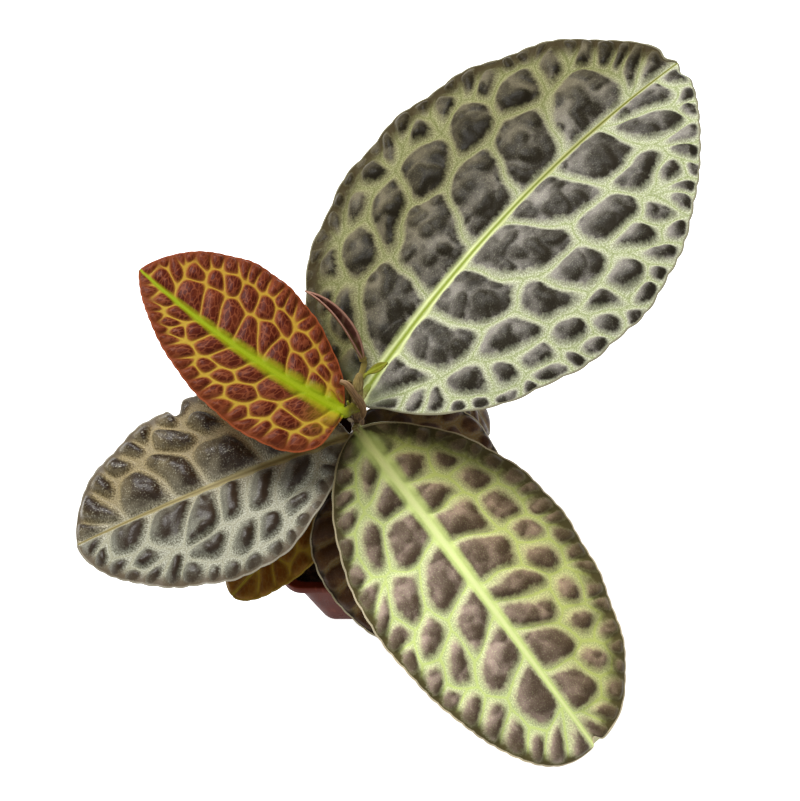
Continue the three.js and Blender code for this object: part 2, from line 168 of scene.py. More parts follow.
# Each leaf, as in the solids. node is its height on the stem, and rib the midrib's half width at the base.
# arch and bow bend the midrib up and sideways. roll, fold and droop turn, fold and bend the blade.
# left and right: a half's width, where it is widest, and the powers that round its base and its tip.
# rows: (share across, islands), which slant leans to the tip. band is the net's half width, dome its depth.
# grid: (steps along, steps across), multiples of COARSE. lump: size of the lumps on an island.
# nicks: (side, place, width, depth). dents: (end, place across, width, depth).
# shade: the way along and across that the painted light falls, for the painted light and shade on the lumps'
# flanks.
LEAVES = [SimpleNamespace(**(COMMON | own)) for own in (
    dict(
        name="leaf_large_back_right", node=151, seed=12, rib=1.9, slot="leaf_silver",
        base=(-6.6, 9.1, 154.5), tip=(125, 135.3, 215), arch=5, bow=7, roll=-8, fold=8, droop=0.12,
        left=(76, 0.48, 0.38, 0.53), right=(75.5, 0.47, 0.47, 0.68), slant=0.6, wave=1.2, waves=6,
        rows=((0.25, 8), (0.56, 9), (0.79, 14), (0.945, 24)),
        rows_left=((0.28, 7), (0.64, 9), (0.86, 16), (0.965, 30)),
        band=2.3, dome=2.3, grid=(330, 246), lump=(7, 8), lump_rise=1.2, shade=(0.1, -1),
        scallop=0.7, scallops=24, dents=((0, -4, 5, -2.5), (0, 8, 6, -1.5), (1, 5, 4, 3), (1, -5, 4, 3)),
    ),
    dict(
        name="leaf_long_front_right", node=145, seed=23, rib=1.45, slot="leaf_green",
        base=(-9.1, -2.6, 148), tip=(87.1, -114.2, 85), arch=6, bow=-1, fold=6, droop=0.12,
        left=(50, 0.5, 0.61, 0.36), right=(44.5, 0.46, 0.54, 0.38), slant=0.45, wave=1, waves=6,
        rows=((0.28, 8), (0.66, 9), (0.9, 18)), rows_left=((0.28, 10), (0.67, 12), (0.91, 22)),
        band=2.3, dome=1.8, grid=(330, 216), lump=(6.5, 7), lump_rise=0.5, shade=(0.8, 0.4),
        scallop=0.4, scallops=26, dents=((1, 2.0, 1.6, 3.2),),
    ),
    dict(
        name="leaf_left", node=139, seed=37, rib=1.6, slot="leaf_grey",
        base=(-12.1, -3.2, 143), tip=(-122.4, -43.3, 125), arch=4, fold=12, droop=0.12,
        left=(44, 0.45, 0.85, 0.56), right=(41.5, 0.48, 0.6, 0.5), wave=1, waves=5,
        rows=((0.3, 6), (0.72, 8), (0.92, 15)), rows_left=((0.3, 8), (0.72, 10), (0.93, 17)),
        band=2.2, dome=2.8, grid=(270, 198), lump=(7, 9), lump_rise=1.1, shade=(-1, 0.3),
        scallop=0.5, scallops=18, nicks=((-1, 0.42, 0.022, 5.0), (-1, 0.3, 0.01, 1.5)),
    ),
    dict(
        name="leaf_red_back_left", node=156, seed=43, rib=2.0, slot="leaf_red",
        base=(-14.5, -2, 162), tip=(-94.6, 46.6, 190), arch=0, bow=3.5, fold=6, droop=0.12,
        left=(28.5, 0.26, 0.2, 0.75), right=(37, 0.57, 0.6, 0.52), wave=0.6, waves=5,
        rows=((0.27, 11), (0.6, 13), (0.84, 21)),
        band=1.25, dome=1.2, grid=(270, 204), lump=(2.6, 11), lump_rise=0.16, scallops=22,
    ),
    dict(
        name="leaf_rolled", node=164, seed=53, slot="leaf_maroon",
        base=(-6.2, 16.5, 171), tip=(-28.6, 35, 192), arch=3, bow=-2, roll=-8, fold=72, droop=0,
        left=(6.5, 0.36, 0.7, 0.9), right=(6.5, 0.36, 0.7, 0.9), slant=0.4, wave=0, waves=1, rows=((0.5, 4),),
        band=0.9, dome=0.25, grid=(90, 48), lump=(2, 8), lump_rise=0.05, scallop=0.1, scallops=9,
    ),
    dict(
        name="leaf_low_right", node=122, seed=61, slot="leaf_dark",
        base=(-5.0, 6.2, 131.5), tip=(52.6, 0.6, 105), arch=4, fold=10,
        left=(23, 0.5, 0.34, 0.55), right=(19, 0.5, 0.6, 0.55), wave=0.6, waves=4,
        band=1.6, dome=1.3, grid=(132, 90), lump=(4.5, 5), lump_rise=0.3, scallops=10, dents=((0, 6, 5, -4),),
    ),
    dict(
        name="leaf_low_olive", node=99, seed=71, slot="leaf_olive",
        base=(-13.4, -1.9, 104), tip=(-64, -51, 87), arch=3, fold=5,
        left=(17, 0.5, 0.6, 0.45), right=(21, 0.5, 0.6, 0.45), wave=0.6, waves=4,
        band=1.5, dome=1, grid=(150, 96), lump=(4, 4.5), lump_rise=0.25, scallops=12,
    ),
    dict(
        name="leaf_low_front", node=112, seed=85, slot="leaf_dark",
        base=(-10, -6, 117), tip=(9, -71, 82), arch=6, fold=8,
        left=(21, 0.5, 0.6, 0.55), right=(28, 0.42, 0.6, 0.65), wave=0.9, waves=5,
        band=1.6, dome=1.3, grid=(150, 102), lump=(4.5, 5), lump_rise=0.3, scallop=0.4, scallops=12,
    ),
    dict(
        name="leaf_low_back", node=95, seed=97, rib=1.1, slot="leaf_dark",
        base=(22, 48, 99), tip=(52.5, 43, 60), arch=16.5, fold=6,
        left=(12, 0.6, 0.8, 0.5), right=(8.5, 0.68, 0.9, 0.45), slant=0.4, wave=0.5, waves=3,
        rows=((0.28, 5), (0.7, 6)),
        band=1.3, dome=1, grid=(120, 60), lump=(4, 5), lump_rise=0.25, scallop=0.4, scallops=9,
    ),
    dict(
        name="leaf_bud", node=168, seed=101, rib=0.7, slot="leaf_bud",
        base=(-4.2, 10.6, 170.5), tip=(3.6, 12.6, 175), arch=0, fold=14, droop=0,
        left=(2, 0.5, 0.7, 0.7), right=(2, 0.5, 0.7, 0.7), slant=0.3, wave=0, waves=1, rows=((0.5, 2),),
        band=0.5, dome=0.1, grid=(48, 24), lump=(1, 2), lump_rise=0.02, scallop=0, scallops=1,
    ),
)]


# Small helpers for numbers.
def unit(vectors):
    return vectors / np.linalg.norm(vectors, axis=-1, keepdims=True)


def smooth(value, low, high):
    share = np.clip((value - low) / (high - low), 0.0, 1.0)
    return share * share * (3.0 - 2.0 * share)


def waves_2d(x, y, scale, seed, count=6):
    """A smooth field of about -1 to 1 whose bumps are about scale across, from waves in seeded directions."""
    rng = np.random.default_rng(seed)
    total = np.zeros_like(x)
    for _ in range(count):
        turn = rng.uniform(0.0, 2.0 * math.pi)
        rate = 2.0 * math.pi / (scale * rng.uniform(1.4, 3.0))
        total += np.sin(rate * (x * math.cos(turn) + y * math.sin(turn)) + rng.uniform(0.0, 2.0 * math.pi))
    return total / math.sqrt(count)


def catmull_rom(points, count):
    """Evenly spaced points on the centripetal Catmull-Rom curve through the given ones."""
    given = np.array(points, float)
    ends = np.vstack([2 * given[0] - given[1], given, 2 * given[-1] - given[-2]])
    fine = []
    for i in range(len(given) - 1):
        p = ends[i:i + 4]
        knots = np.concatenate([[0.0], np.cumsum(np.sqrt(np.linalg.norm(np.diff(p, axis=0), axis=1)))])
        t = np.linspace(knots[1], knots[2], CURVE_STEPS, endpoint=i == len(given) - 2)[:, None]

        def blend(first, second, low, high):
            return ((knots[high] - t) * first + (t - knots[low]) * second) / (knots[high] - knots[low])

        a = [blend(p[k], p[k + 1], k, k + 1) for k in range(3)]
        b = [blend(a[k], a[k + 1], k, k + 2) for k in range(2)]
        fine.append(blend(b[0], b[1], 1, 2))
    fine = np.vstack(fine)
    reach = np.concatenate([[0.0], np.cumsum(np.linalg.norm(np.diff(fine, axis=0), axis=1))])
    even = np.linspace(0.0, reach[-1], count)
    return np.stack([np.interp(even, reach, fine[:, k]) for k in range(3)], axis=1)


# Small helpers for meshes.
def mesh_object(name, places, faces, fields=None, material=None, sharp=None):
    """A mesh object from places in millimetres, with float or vector attributes on its points."""
    mesh = bpy.data.meshes.new(name)
    mesh.from_pydata((np.asarray(places) * MM).tolist(), [], faces)
    for field, values in (fields or {}).items():
        values = np.asarray(values, np.float32)
        kind, key = ("FLOAT_VECTOR", "vector") if values.ndim == 2 else ("FLOAT", "value")
        mesh.attributes.new(field, kind, "POINT").data.foreach_set(key, values.ravel())
    mesh.validate()
    mesh.shade_smooth()
    if sharp is not None:
        mesh.set_sharp_from_angle(angle=math.radians(sharp))
    if material:
        mesh.materials.append(material)
    piece = bpy.data.objects.new(name, mesh)
    bpy.context.scene.collection.objects.link(piece)
    return piece


def finish_piece(piece, slot, *nodes):
    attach(piece, "root")
    if nodes:
        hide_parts(*nodes)


def ring_faces(rings, count):
    """Quads between rings of count points each, with a flat face at both ends."""
    faces = []
    end = (rings - 1) * count
    for a in range(0, end, count):
        for i in range(count):
            j = (i + 1) % count
            faces.append((a + i, a + j, a + count + j, a + count + i))
    return faces + [tuple(range(count - 1, -1, -1)), tuple(range(end, end + count))]


# Colours are given as they look on a screen, from 0 to 255.
def tint(red, green, blue):
    def linear(level):
        share = level / 255.0
        return share / 12.92 if share <= 0.04045 else ((share + 0.055) / 1.055) ** 2.4
    return (linear(red), linear(green), linear(blue), 1.0)


# The sockets of Blender's mix node for colours, by number, and of its shader, by name.
MIX_SHARE, MIX_FIRST, MIX_SECOND, MIX_RESULT = 0, 6, 7, 2
SHADER_SOCKETS = {
    "colour": "Base Color", "roughness": "Roughness", "normal": "Normal", "specular": "Specular IOR Level",
    "ior": "IOR", "coat": "Coat Weight", "coat_roughness": "Coat Roughness", "light": "Emission Color",
    "light_strength": "Emission Strength",
}


class Wire:
    """A node's output. Sums and products of wires and numbers are new nodes of the same material."""

    def __init__(self, material, socket):
        self.material = material
        self.socket = socket

    def __add__(self, other):
        return self.material.math("ADD", self, other)

    def __mul__(self, other):
        return self.material.math("MULTIPLY", self, other)


class Material:
    """A node material and short calls for the nodes that it needs."""

    def __init__(self, name):
        self.material = bpy.data.materials.new(name)
        self.material.use_nodes = True
        self.tree = self.material.node_tree
        self.tree.nodes.clear()
        output = self.tree.nodes.new("ShaderNodeOutputMaterial")
        self.shader = self.tree.nodes.new("ShaderNodeBsdfPrincipled")
        self.tree.links.new(self.shader.outputs[0], output.inputs[0])

    def put(self, socket, value):
        if isinstance(value, Wire):
            self.tree.links.new(value.socket, socket)
        else:
            socket.default_value = value

    def node(self, kind, output, inputs, **settings):
        """A new node's output. Its inputs are given by name or number, as wires or plain values."""
        node = self.tree.nodes.new("ShaderNode" + kind)
        for key, value in settings.items():
            setattr(node, key, value)
        for key, value in inputs.items():
            self.put(node.inputs[key], value)
        return Wire(self, node.outputs[output])

    def attribute(self, name, output="Fac"):
        return self.node("Attribute", output, {}, attribute_name=name)

    def place(self):
        return self.node("TexCoord", "Object", {})

    def stretch(self, vector, scale):
        return self.node("VectorMath", 0, {0: vector, 1: scale}, operation="MULTIPLY")

    def axis(self, vector, name):
        return self.node("SeparateXYZ", name, {0: vector})

    def flat_vector(self, x, y):
        return self.node("CombineXYZ", 0, {0: x, 1: y})

    def noise(self, vector, scale, detail=2.0, distortion=0.0):
        inputs = {"Vector": vector, "Scale": scale, "Detail": detail, "Distortion": distortion}
        return self.node("TexNoise", "Fac", inputs)

    def cells(self, vector):
        """The distance to the nearest border between cells about 1 across."""
        inputs = {"Vector": vector, "Scale": 1.0}
        return self.node("TexVoronoi", "Distance", inputs, feature="DISTANCE_TO_EDGE")

    def math(self, kind, *terms):
        return self.node("Math", 0, dict(enumerate(terms)), operation=kind)

    def swing(self, fac, amount):
        """A noise of 0 to 1 as a swing about 0."""
        return (fac + -0.5) * amount

    def smooth(self, value, low, high, to_low=0.0, to_high=1.0):
        """A soft step from low to high, also when low is the larger one."""
        if low > high:
            low, high, to_low, to_high = high, low, to_high, to_low
        terms = dict(enumerate((value, low, high, to_low, to_high)))
        return self.node("MapRange", 0, terms, interpolation_type="SMOOTHSTEP")

    def mix(self, share, first, second, blend="MIX"):
        inputs = {MIX_SHARE: share, MIX_FIRST: first, MIX_SECOND: second}
        return self.node("Mix", MIX_RESULT, inputs, data_type="RGBA", blend_type=blend)

    def times_colour(self, share, colour, by):
        """A colour multiplied by another where share is 1."""
        return self.mix(share, colour, by, "MULTIPLY")

    def bump(self, height, distance, strength):
        return self.node("Bump", 0, {"Strength": strength, "Distance": distance, "Height": height})

    def set(self, **sockets):
        for key, value in sockets.items():
            self.put(self.shader.inputs[SHADER_SOCKETS[key]], value)
        return self.material


# The leaf's surface, by the same formulas as the solids.
def rib_frames(leaf, t):
    """Place, direction, side and upward normal of the midrib at shares t of the blade's length."""
    base, tip = np.array(leaf.base, float), np.array(leaf.tip, float)
    chord = tip - base
    across = unit(np.array([-chord[1], chord[0], 0.0]))
    middle = (base + tip) / 2 + 2 * leaf.arch * UP + 2 * leaf.bow * across
    t = np.asarray(t, float)[..., None]
    place = (1 - t) ** 2 * base + 2 * t * (1 - t) * middle + t ** 2 * tip
    along = unit((1 - t) * (middle - base) + t * (tip - middle))
    flat = unit(np.cross(UP, along))
    lift = np.cross(along, flat)
    roll = math.radians(leaf.roll)
    side = flat * math.cos(roll) + lift * math.sin(roll)
    normal = lift * math.cos(roll) - flat * math.sin(roll)
    return place, along, side, normal


def half_width(leaf, t, hand):
    def one_side(width, widest, base, tip):
        rise = np.sin(math.pi / 2 * np.clip(t / widest, 0, 1)) ** base
        fall = np.cos(math.pi / 2 * np.clip((t - widest) / (1 - widest), 0, 1)) ** tip
        return width * np.where(t < widest, rise, fall)
    share = np.where(hand > 0, one_side(*leaf.left), one_side(*leaf.right))
    return np.maximum(share, leaf.rib * (1 - t) + TIP_HALF * t)


def island_seeds(leaf):
    """Each side's islands as (share along, share across, spacing), drawn by Park and Miller's generator."""
    state = leaf.seed
    hands = {}
    for hand in (1, -1):
        places = []
        for across, count in leaf.rows_left if hand > 0 and leaf.rows_left else leaf.rows:
            for i in range(count):
                draws = []
                for _ in range(2):
                    state = (state * 16807) % 2147483647
                    draws.append(state / 2147483647)
                t = ROW_START + ROW_SPAN * (i + 0.5 + ALONG_JITTER * (draws[0] - 0.5)) / count
                places.append((t, across + ACROSS_JITTER * (draws[1] - 0.5), 1 / count))
        hands[hand] = np.array(places)
    return hands


def evenly_along(leaf, seeds, side, long):
    """The seeds with their shares along turned into shares of the length of the curve that they lie on."""
    spots = np.linspace(0.0, 1.0, LENGTH_STEPS)
    shares = []
    for share, across, _ in seeds:
        t = spots + leaf.slant * across * spots * (1 - spots)
        x, y = t * long, across * half_width(leaf, t, side)
        reach = np.concatenate([[0.0], np.cumsum(np.hypot(np.diff(x), np.diff(y)))])
        shares.append(np.interp(share, reach / reach[-1], spots))
    return np.column_stack([shares, seeds[:, 1:]])


def thin_out(places, sizes):
    """Keeps the places, from the last row to the first, that are not crowded by the ones already kept."""
    kept = []
    for k in range(len(places) - 1, -1, -1):
        if all(np.hypot(*(places[k] - places[n])) > CROWDED * (sizes[k] + sizes[n]) for n in kept):
            kept.append(k)
    return places[sorted(kept)]


def islands(leaf, t, t0, v, hand, width, rim):
    """For each point: its distance from the net in millimetres, its island's room and a draw of its own."""
    long = np.linalg.norm(np.subtract(leaf.tip, leaf.base))
    edge, room, draw, plain = np.zeros_like(t0), np.ones_like(t0), np.zeros_like(t0), np.zeros_like(t0)
    bend = ISLAND_BEND * leaf.band
    for side, seeds in island_seeds(leaf).items():
        here = hand == side
        lean = 0.25 * leaf.slant * long / (leaf.left if side > 0 else leaf.right)[0]
        y = v[here] * width[here]
        x = t[here] * long - lean * y
        fade = smooth(v[here], 0.0, 0.08) * smooth(1 - v[here], 0.0, 0.06)
        x = x + fade * bend * waves_2d(x, y, ISLAND_WAVE, leaf.seed + side)
        y = y + fade * bend * waves_2d(x, y, ISLAND_WAVE, leaf.seed + 10 + side)
        seeds = evenly_along(leaf, seeds, side, long)
        slanted = seeds[:, 0] + leaf.slant * seeds[:, 1] * seeds[:, 0] * (1 - seeds[:, 0])
        seed_y = seeds[:, 1] * half_width(leaf, slanted, side)
        places = thin_out(np.column_stack([slanted * long - lean * seed_y, seed_y]), seeds[:, 2] * long)
        gap = places[None] - places[:, None]
        apart = np.linalg.norm(gap, axis=2) + np.eye(len(places))
        square = (x[:, None] - places[:, 0]) ** 2 + (y[:, None] - places[:, 1]) ** 2
        nearest = square.argmin(axis=1)
        own = square[np.arange(len(x)), nearest]
        ways = gap[nearest] / apart[nearest][..., None]
        shrink = np.hypot(ways[..., 0], ways[..., 1] - lean * ways[..., 0])
        lines = (square - own[:, None]) / (2 * apart[nearest]) / np.maximum(shrink, 1e-6)
        lines[np.arange(len(x)), nearest] = 1e3
        borders = np.column_stack([
            lines,
            v[here] * width[here] - 0.3 * leaf.rib * (1 - t0[here]),
            rim[here] + 0.25 * leaf.band,
        ])
        soft = ISLAND_SOFT * leaf.band
        least = borders.min(axis=1)
        distance = least - soft * np.log(np.exp(-(borders - least[:, None]) / soft).sum(axis=1))
        distance = np.maximum(distance, 0.0)
        rooms = np.zeros(len(places))
        np.maximum.at(rooms, nearest, distance)
        rng = np.random.default_rng(leaf.seed + side + 5)
        edge[here], room[here], plain[here] = distance, np.maximum(rooms[nearest], 0.4), least
        draw[here] = rng.random(len(places))[nearest]
    return edge, room, draw, plain


# The usual sine hash: three draws of 0 to 1 for each cell of a grid.
HASH_SCALE = 43758.5453
HASH_TURNS = ((12.9898, 78.233), (39.3467, 11.135), (73.156, 52.235))


def lumps(leaf, x, y, seed):
    """The lumps on the islands, from 0 between them to about 1 on top, and a draw of each lump's own."""
    along, across = leaf.lump
    x, y = x / along, y / across
    bends = [LUMP_BEND * waves_2d(x, y, LUMP_WAVE, seed + k) for k in range(2)]
    x, y = x + bends[0], y + bends[1]
    column, row = np.floor(x), np.floor(y)
    total, best, own = np.zeros_like(x), np.full_like(x, 9.0), np.zeros_like(x)
    for i in range(-2, 3):
        for j in range(-2, 3):
            a, b = column + i, row + j
            draws = [np.modf(np.abs(np.sin(a * p + b * q + seed) * HASH_SCALE))[0] for p, q in HASH_TURNS]
            from_x = a + 0.5 + LUMP_JITTER * (draws[0] - 0.5) - x
            from_y = b + 0.5 + LUMP_JITTER * (draws[1] - 0.5) - y
            square = from_x ** 2 + from_y ** 2
            total += (0.75 + 0.25 * draws[2]) * np.exp(-square / LUMP_SPREAD)
            nearer = square < best
            best, own = np.where(nearer, square, best), np.where(nearer, draws[2], own)
    return total, own


def lowest_near(height, reach):
    """The least height within reach grid steps of each point."""
    rows, columns = height.shape
    for axis, size in ((0, rows), (1, columns)):
        spots = np.arange(size)
        steps = range(-reach, reach + 1)
        height = np.min([height.take(np.clip(spots + k, 0, size - 1), axis) for k in steps], axis=0)
    return height


def grid_shares(leaf):
    """Shares along the blade and across it, from -1 to 1, on a grid that is finer at both ends."""
    steps_along, steps_across = leaf.grid
    u = np.linspace(0.0, 1.0, steps_along + 1)
    ease = np.where(u < END_SHARE, u ** 2 / (2 * END_SHARE), u - END_SHARE / 2)
    ease = np.where(u > 1 - END_SHARE, 1 - END_SHARE - (1 - u) ** 2 / (2 * END_SHARE), ease)
    w = np.linspace(-1.0, 1.0, steps_across + 1)
    across = w * (MIDDLE_STEP + (1 - MIDDLE_STEP) * np.abs(w))
    return np.meshgrid(ease / (1 - END_SHARE), across, indexing="ij")


def margin_reach(leaf, t, v, hand, width):
    """Each point's distance from the midrib, with the scallops and nicks of the margin."""
    waves = np.abs(np.sin(math.pi * leaf.scallops * t + hand)) - 0.6
    share = 1 + leaf.scallop * v ** 10 * waves / np.maximum(width, SHALLOW_WIDTH)
    for side, at, wide, deep in leaf.nicks:
        notch = np.exp(-(np.abs(t - at) / wide) ** 3) * v ** 5 * (hand == side)
        share = share - deep * notch / np.maximum(width, SHALLOW_WIDTH)
    return v * width * share


def puckers(leaf, edge, room, width, rim, lump, lump_draw):
    """Each point's way into its island, its height, and a rounder height whose slopes give the painted light
    and shade on the flanks.
    """
    band, dome = leaf.band, leaf.dome
    net = edge / np.minimum(band, 0.5 * room)
    full = dome * np.minimum(1, room / (FULL_ROOM * band)) * np.minimum(1, FULL_ROOM * width / leaf.left[0])
    swell = smooth(lump, 0.25, 0.95) * (0.55 + 0.45 * lump_draw)
    height = full * (0.5 * smooth(net, 0.05, 1.25) + 0.8 * smooth(edge, 0.3 * band, room)) \
        + leaf.lump_rise * swell * smooth(net, 0.5, 1.3) * np.minimum(1, room / (1.4 * band))
    height = height * smooth(rim, 0.0, 2.0 * dome)
    return net, height, 0.6 * height + 1.3 * full * smooth(edge, 0.0, room)


def blade_grid(leaf):
    """The blade's middle surface on a grid, with what its looks need at each point."""
    t0, signed = grid_shares(leaf)
    hand = np.where(signed >= 0, 1.0, -1.0)
    v = np.abs(signed)
    t = t0 + leaf.slant * v * t0 * (1 - t0)
    place, along, side, normal = rib_frames(leaf, t)
    width = half_width(leaf, t, hand)
    x, y = t * np.linalg.norm(np.subtract(leaf.tip, leaf.base)), signed * width
    x_step, y_step = np.gradient(x, axis=0), np.gradient(y, axis=1)
    slope = np.gradient(width, axis=0) / np.maximum(x_step, 0.02)
    rim = (1 - v) * width / np.sqrt(1 + np.clip(slope, -8, 8) ** 2)
    edge, room, draw, plain = islands(leaf, t, t0, v, hand, width, rim)
    lump, lump_draw = lumps(leaf, x, y, leaf.seed)
    net, height, relief = puckers(leaf, edge, room, width, rim, lump, lump_draw)
    # lean is painted light and shade: each flank's slope against the way of the light given by the leaf's
    # shade.
    down_along = -np.gradient(relief, axis=0) / np.maximum(x_step, 0.05)
    down_across = -np.gradient(relief, axis=1) / np.maximum(y_step, 0.05)
    lean = np.tanh((down_along * leaf.shade[0] + down_across * leaf.shade[1]) / 0.9)

    reach = margin_reach(leaf, t0, v, hand, width)
    fold = math.radians(leaf.fold)
    lift = (reach * math.sin(fold) - leaf.droop * reach ** 2 / leaf.left[0]
            + leaf.wave * v ** 3 * np.sin(2 * math.pi * leaf.waves * t + hand))
    ridge = leaf.rib * (1 - t) + 0.3
    rib = v * width / ridge
    crest = ridge * (RIB_CREST * np.exp(-rib ** 2 * 1.4) - RIB_GROOVE * np.exp(-(rib / 0.3) ** 2))
    places = place + side * (hand * reach * math.cos(fold))[..., None]
    places = places + normal * (lift + height + crest)[..., None]
    for end, at, wide, deep in leaf.dents:
        pull = deep * np.exp(-((hand * reach - at) / wide) ** 2) * smooth(np.abs(t0 - end), 0.08, 0.0)
        places = places + along * (pull * (1 - 2 * end))[..., None]
    keel = RIB_KEEL * leaf.rib * (1 - t) * np.exp(-rib ** 2)
    keel = keel + (height - lowest_near(height, COARSE)) * np.minimum(1, (1 - v) * width / 2.0)
    fields = dict(
        net=net, rib=rib, rim=rim, tone=draw, depth=plain, stalk=np.zeros_like(t), across=signed, lump=lump,
        draw=lump_draw, lean=lean, blade=np.stack([x, y, np.zeros_like(t)], axis=-1),
    )
    return places, keel, v, fields


def two_faces(leaf):
    """Both faces of the blade. The lower one has a coarser grid, which meets the upper one's at the edge."""
    middle, keel, v, fields = blade_grid(leaf)
    rows, columns = v.shape
    down = np.gradient(middle, axis=0)
    over = np.gradient(middle, axis=1)
    facing = np.cross(over, down)
    size = np.linalg.norm(facing, axis=-1, keepdims=True)
    facing = np.where(size > 1e-9, facing / np.maximum(size, 1e-9), UP)
    if (facing[rows // 2, columns // 2] * rib_frames(leaf, 0.5)[3]).sum() < 0:
        facing = -facing
    half = 0.5 * (BLADE + (RIM_BLADE - BLADE) * smooth(v, 0.9, 1.0))[..., None]
    top = middle + facing * half
    bottom = middle - facing * (half + keel[..., None])
    number = np.arange(rows * columns).reshape(rows, columns)
    around = [(i, 0) for i in range(rows - 1)] + [(rows - 1, j) for j in range(columns - 1)] \
        + [(i, columns - 1) for i in range(rows - 1, 0, -1)] + [(0, j) for j in range(columns - 1, 0, -1)]
    rim = {spot: k for k, spot in enumerate(around)}
    inner = [(i, j) for i in range(COARSE, rows - 1, COARSE) for j in range(COARSE, columns - 1, COARSE)]
    start = rows * columns
    low = {spot: start + k for spot, k in rim.items()}
    low.update({spot: start + len(rim) + k for k, spot in enumerate(inner)})
    a, b = number[:-1, :-1].ravel(), number[:-1, 1:].ravel()
    c, d = number[1:, 1:].ravel(), number[1:, :-1].ravel()
    faces = np.stack([a, d, c, b], axis=1).tolist()
    for i in range(0, rows - 1, COARSE):
        for j in range(0, columns - 1, COARSE):
            faces.append([low[spot] for spot in cell_corners(i, j, rows, columns)])
    for k, spot in enumerate(around):
        after = around[(k + 1) % len(around)]
        faces.append([number[spot], number[after], low[after], low[spot]])
    spots = around + inner
    index = tuple(np.array(spots).T)
    places = np.vstack([top.reshape(-1, 3), bottom[index]])
    out = {}
    for key, values in fields.items():
        flat = values.reshape(rows * columns, -1)
        both = np.vstack([flat, values[index].reshape(len(spots), -1)])
        out[key] = both if both.shape[1] > 1 else both[:, 0]
    out["face"] = np.concatenate([np.ones(rows * columns), np.zeros(len(spots))])
    return places, faces, out


def cell_corners(i, j, rows, columns):
    """The corners of a coarse cell, with every fine point between them along the blade's edge."""
    right, far = j + COARSE, i + COARSE
    loop = []
    for (i0, j0), (i1, j1) in (((i, j), (i, right)), ((i, right), (far, right)),
                               ((far, right), (far, j)), ((far, j), (i, j))):
        on_edge = (i0 == i1 and i0 in (0, rows - 1)) or (j0 == j1 and j0 in (0, columns - 1))
        steps = COARSE if on_edge else 1
        for s in range(steps):
            share = s * COARSE // steps
            loop.append((i0 + int(np.sign(i1 - i0)) * share, j0 + int(np.sign(j1 - j0)) * share))
    return loop


def stem_axis(z):
    path = np.array(STEM_PATH, float)
    return np.array([np.interp(z, path[:, 2], path[:, k]) for k in range(3)])


def petiole(leaf, sides=20, rings=26):
    """The leaf's stalk, from inside the blade's base to inside the stem, flattened and grooved on top."""
    axis = stem_axis(leaf.node)
    place, along, side, normal = rib_frames(leaf, 0.0)
    lead = place - PETIOLE_LEAD * along
    outward = lead - axis
    outward[2] = 0
    foot = axis + unit(outward) * PETIOLE_FOOT
    knee = lead + (foot - lead) * (1 - PETIOLE_KNEE)
    inside = rib_frames(leaf, PETIOLE_START)[0]
    centres = catmull_rom([inside, place, lead, knee, foot], rings)
    tangent = unit(np.gradient(centres, axis=0))
    places = []
    for centre, back, share in zip(centres, tangent, np.linspace(0, 1, rings)):
        side = unit(side - (side @ back) * back)
        normal = unit(normal - (normal @ back) * back - (normal @ side) * side)
        swell = PETIOLE_SWELL * smooth(share, 0.0, 0.25) + PETIOLE_FOOT_SWELL * smooth(share, 0.7, 1.0)
        broad = leaf.rib * (PETIOLE_WIDTH + swell)
        for turn in 2 * math.pi * np.arange(sides) / sides:
            groove = 1 - PETIOLE_GROOVE * math.exp(-((turn - math.pi / 2) / 0.5) ** 2)
            rise = PETIOLE_DEPTH * groove * math.sin(turn)
            places.append(centre + side * broad * math.cos(turn) + normal * broad * rise)
    return np.array(places), ring_faces(rings, sides), np.repeat(np.linspace(0, 1, rings), sides)


def make_leaf(leaf, material):
    places, faces, fields = two_faces(leaf)
    tube, tube_faces, share = petiole(leaf)
    faces += [[len(places) + i for i in face] for face in tube_faces]
    on_tube = dict(net=FAR_FROM_NET, rim=FAR_FROM_NET, depth=FAR_FROM_NET, tone=0.5, face=1.0,
                   stalk=smooth(share, 0.1, 0.55), blade=tube - tube[0])
    for key, values in fields.items():
        added = np.broadcast_to(on_tube.get(key, 0.0), (len(tube),) + values.shape[1:])
        fields[key] = np.concatenate([values, added])
    piece = mesh_object(leaf.name + "_blade", np.vstack([places, tube]), faces, fields, material, sharp=60)
    finish_piece(piece, leaf.slot, leaf.name)


# What the kinds of leaves share unless their own entry says otherwise.
# patch and speck lie on an island, vein and haze on the net, and rib_line and glow on and beside the midrib.
# margin is the outer band and edge its rim. under is the lower face, and base the foot of the blade.
# left and right tint the halves with painted shade on the half turned from the light, and a slight shift of
# tone.
# shade is a painted shadow of the leaves above on the foot, and dull dulls the far part of the midrib.
# rag and fuzz roughen the islands, web and fade say where and how softly they start, ring lights their rim.
# dusting is wax on the net, lean the painted light and shade on the lumps' flanks, and fan and outer the
# reach of base and margin.
SHARED_LOOK = dict(
    left=(255, 255, 255), right=(255, 255, 255), shade=(255, 255, 255), dull=(255, 255, 255), rag=0.7,
    fuzz=0.2, web=0.6, fade=0.6, ring=0.35, line=0.3, line_width=0.62, dusting=0.3, veinlets=0.0,
    lean=-0.38, glow_width=1.5, outer_left=4.0, outer_right=4.0, edge_share=0.75, shade_reach=50.0,
    shade_from=-2.0, dull_from=60.0, roughness=0.45, gloss=0.08, glint=0.0,
)


def leaf_look(**own):
    look = SimpleNamespace(**(SHARED_LOOK | own))
    for key, value in vars(look).items():
        if isinstance(value, tuple):
            setattr(look, key, tint(*value))
    return look


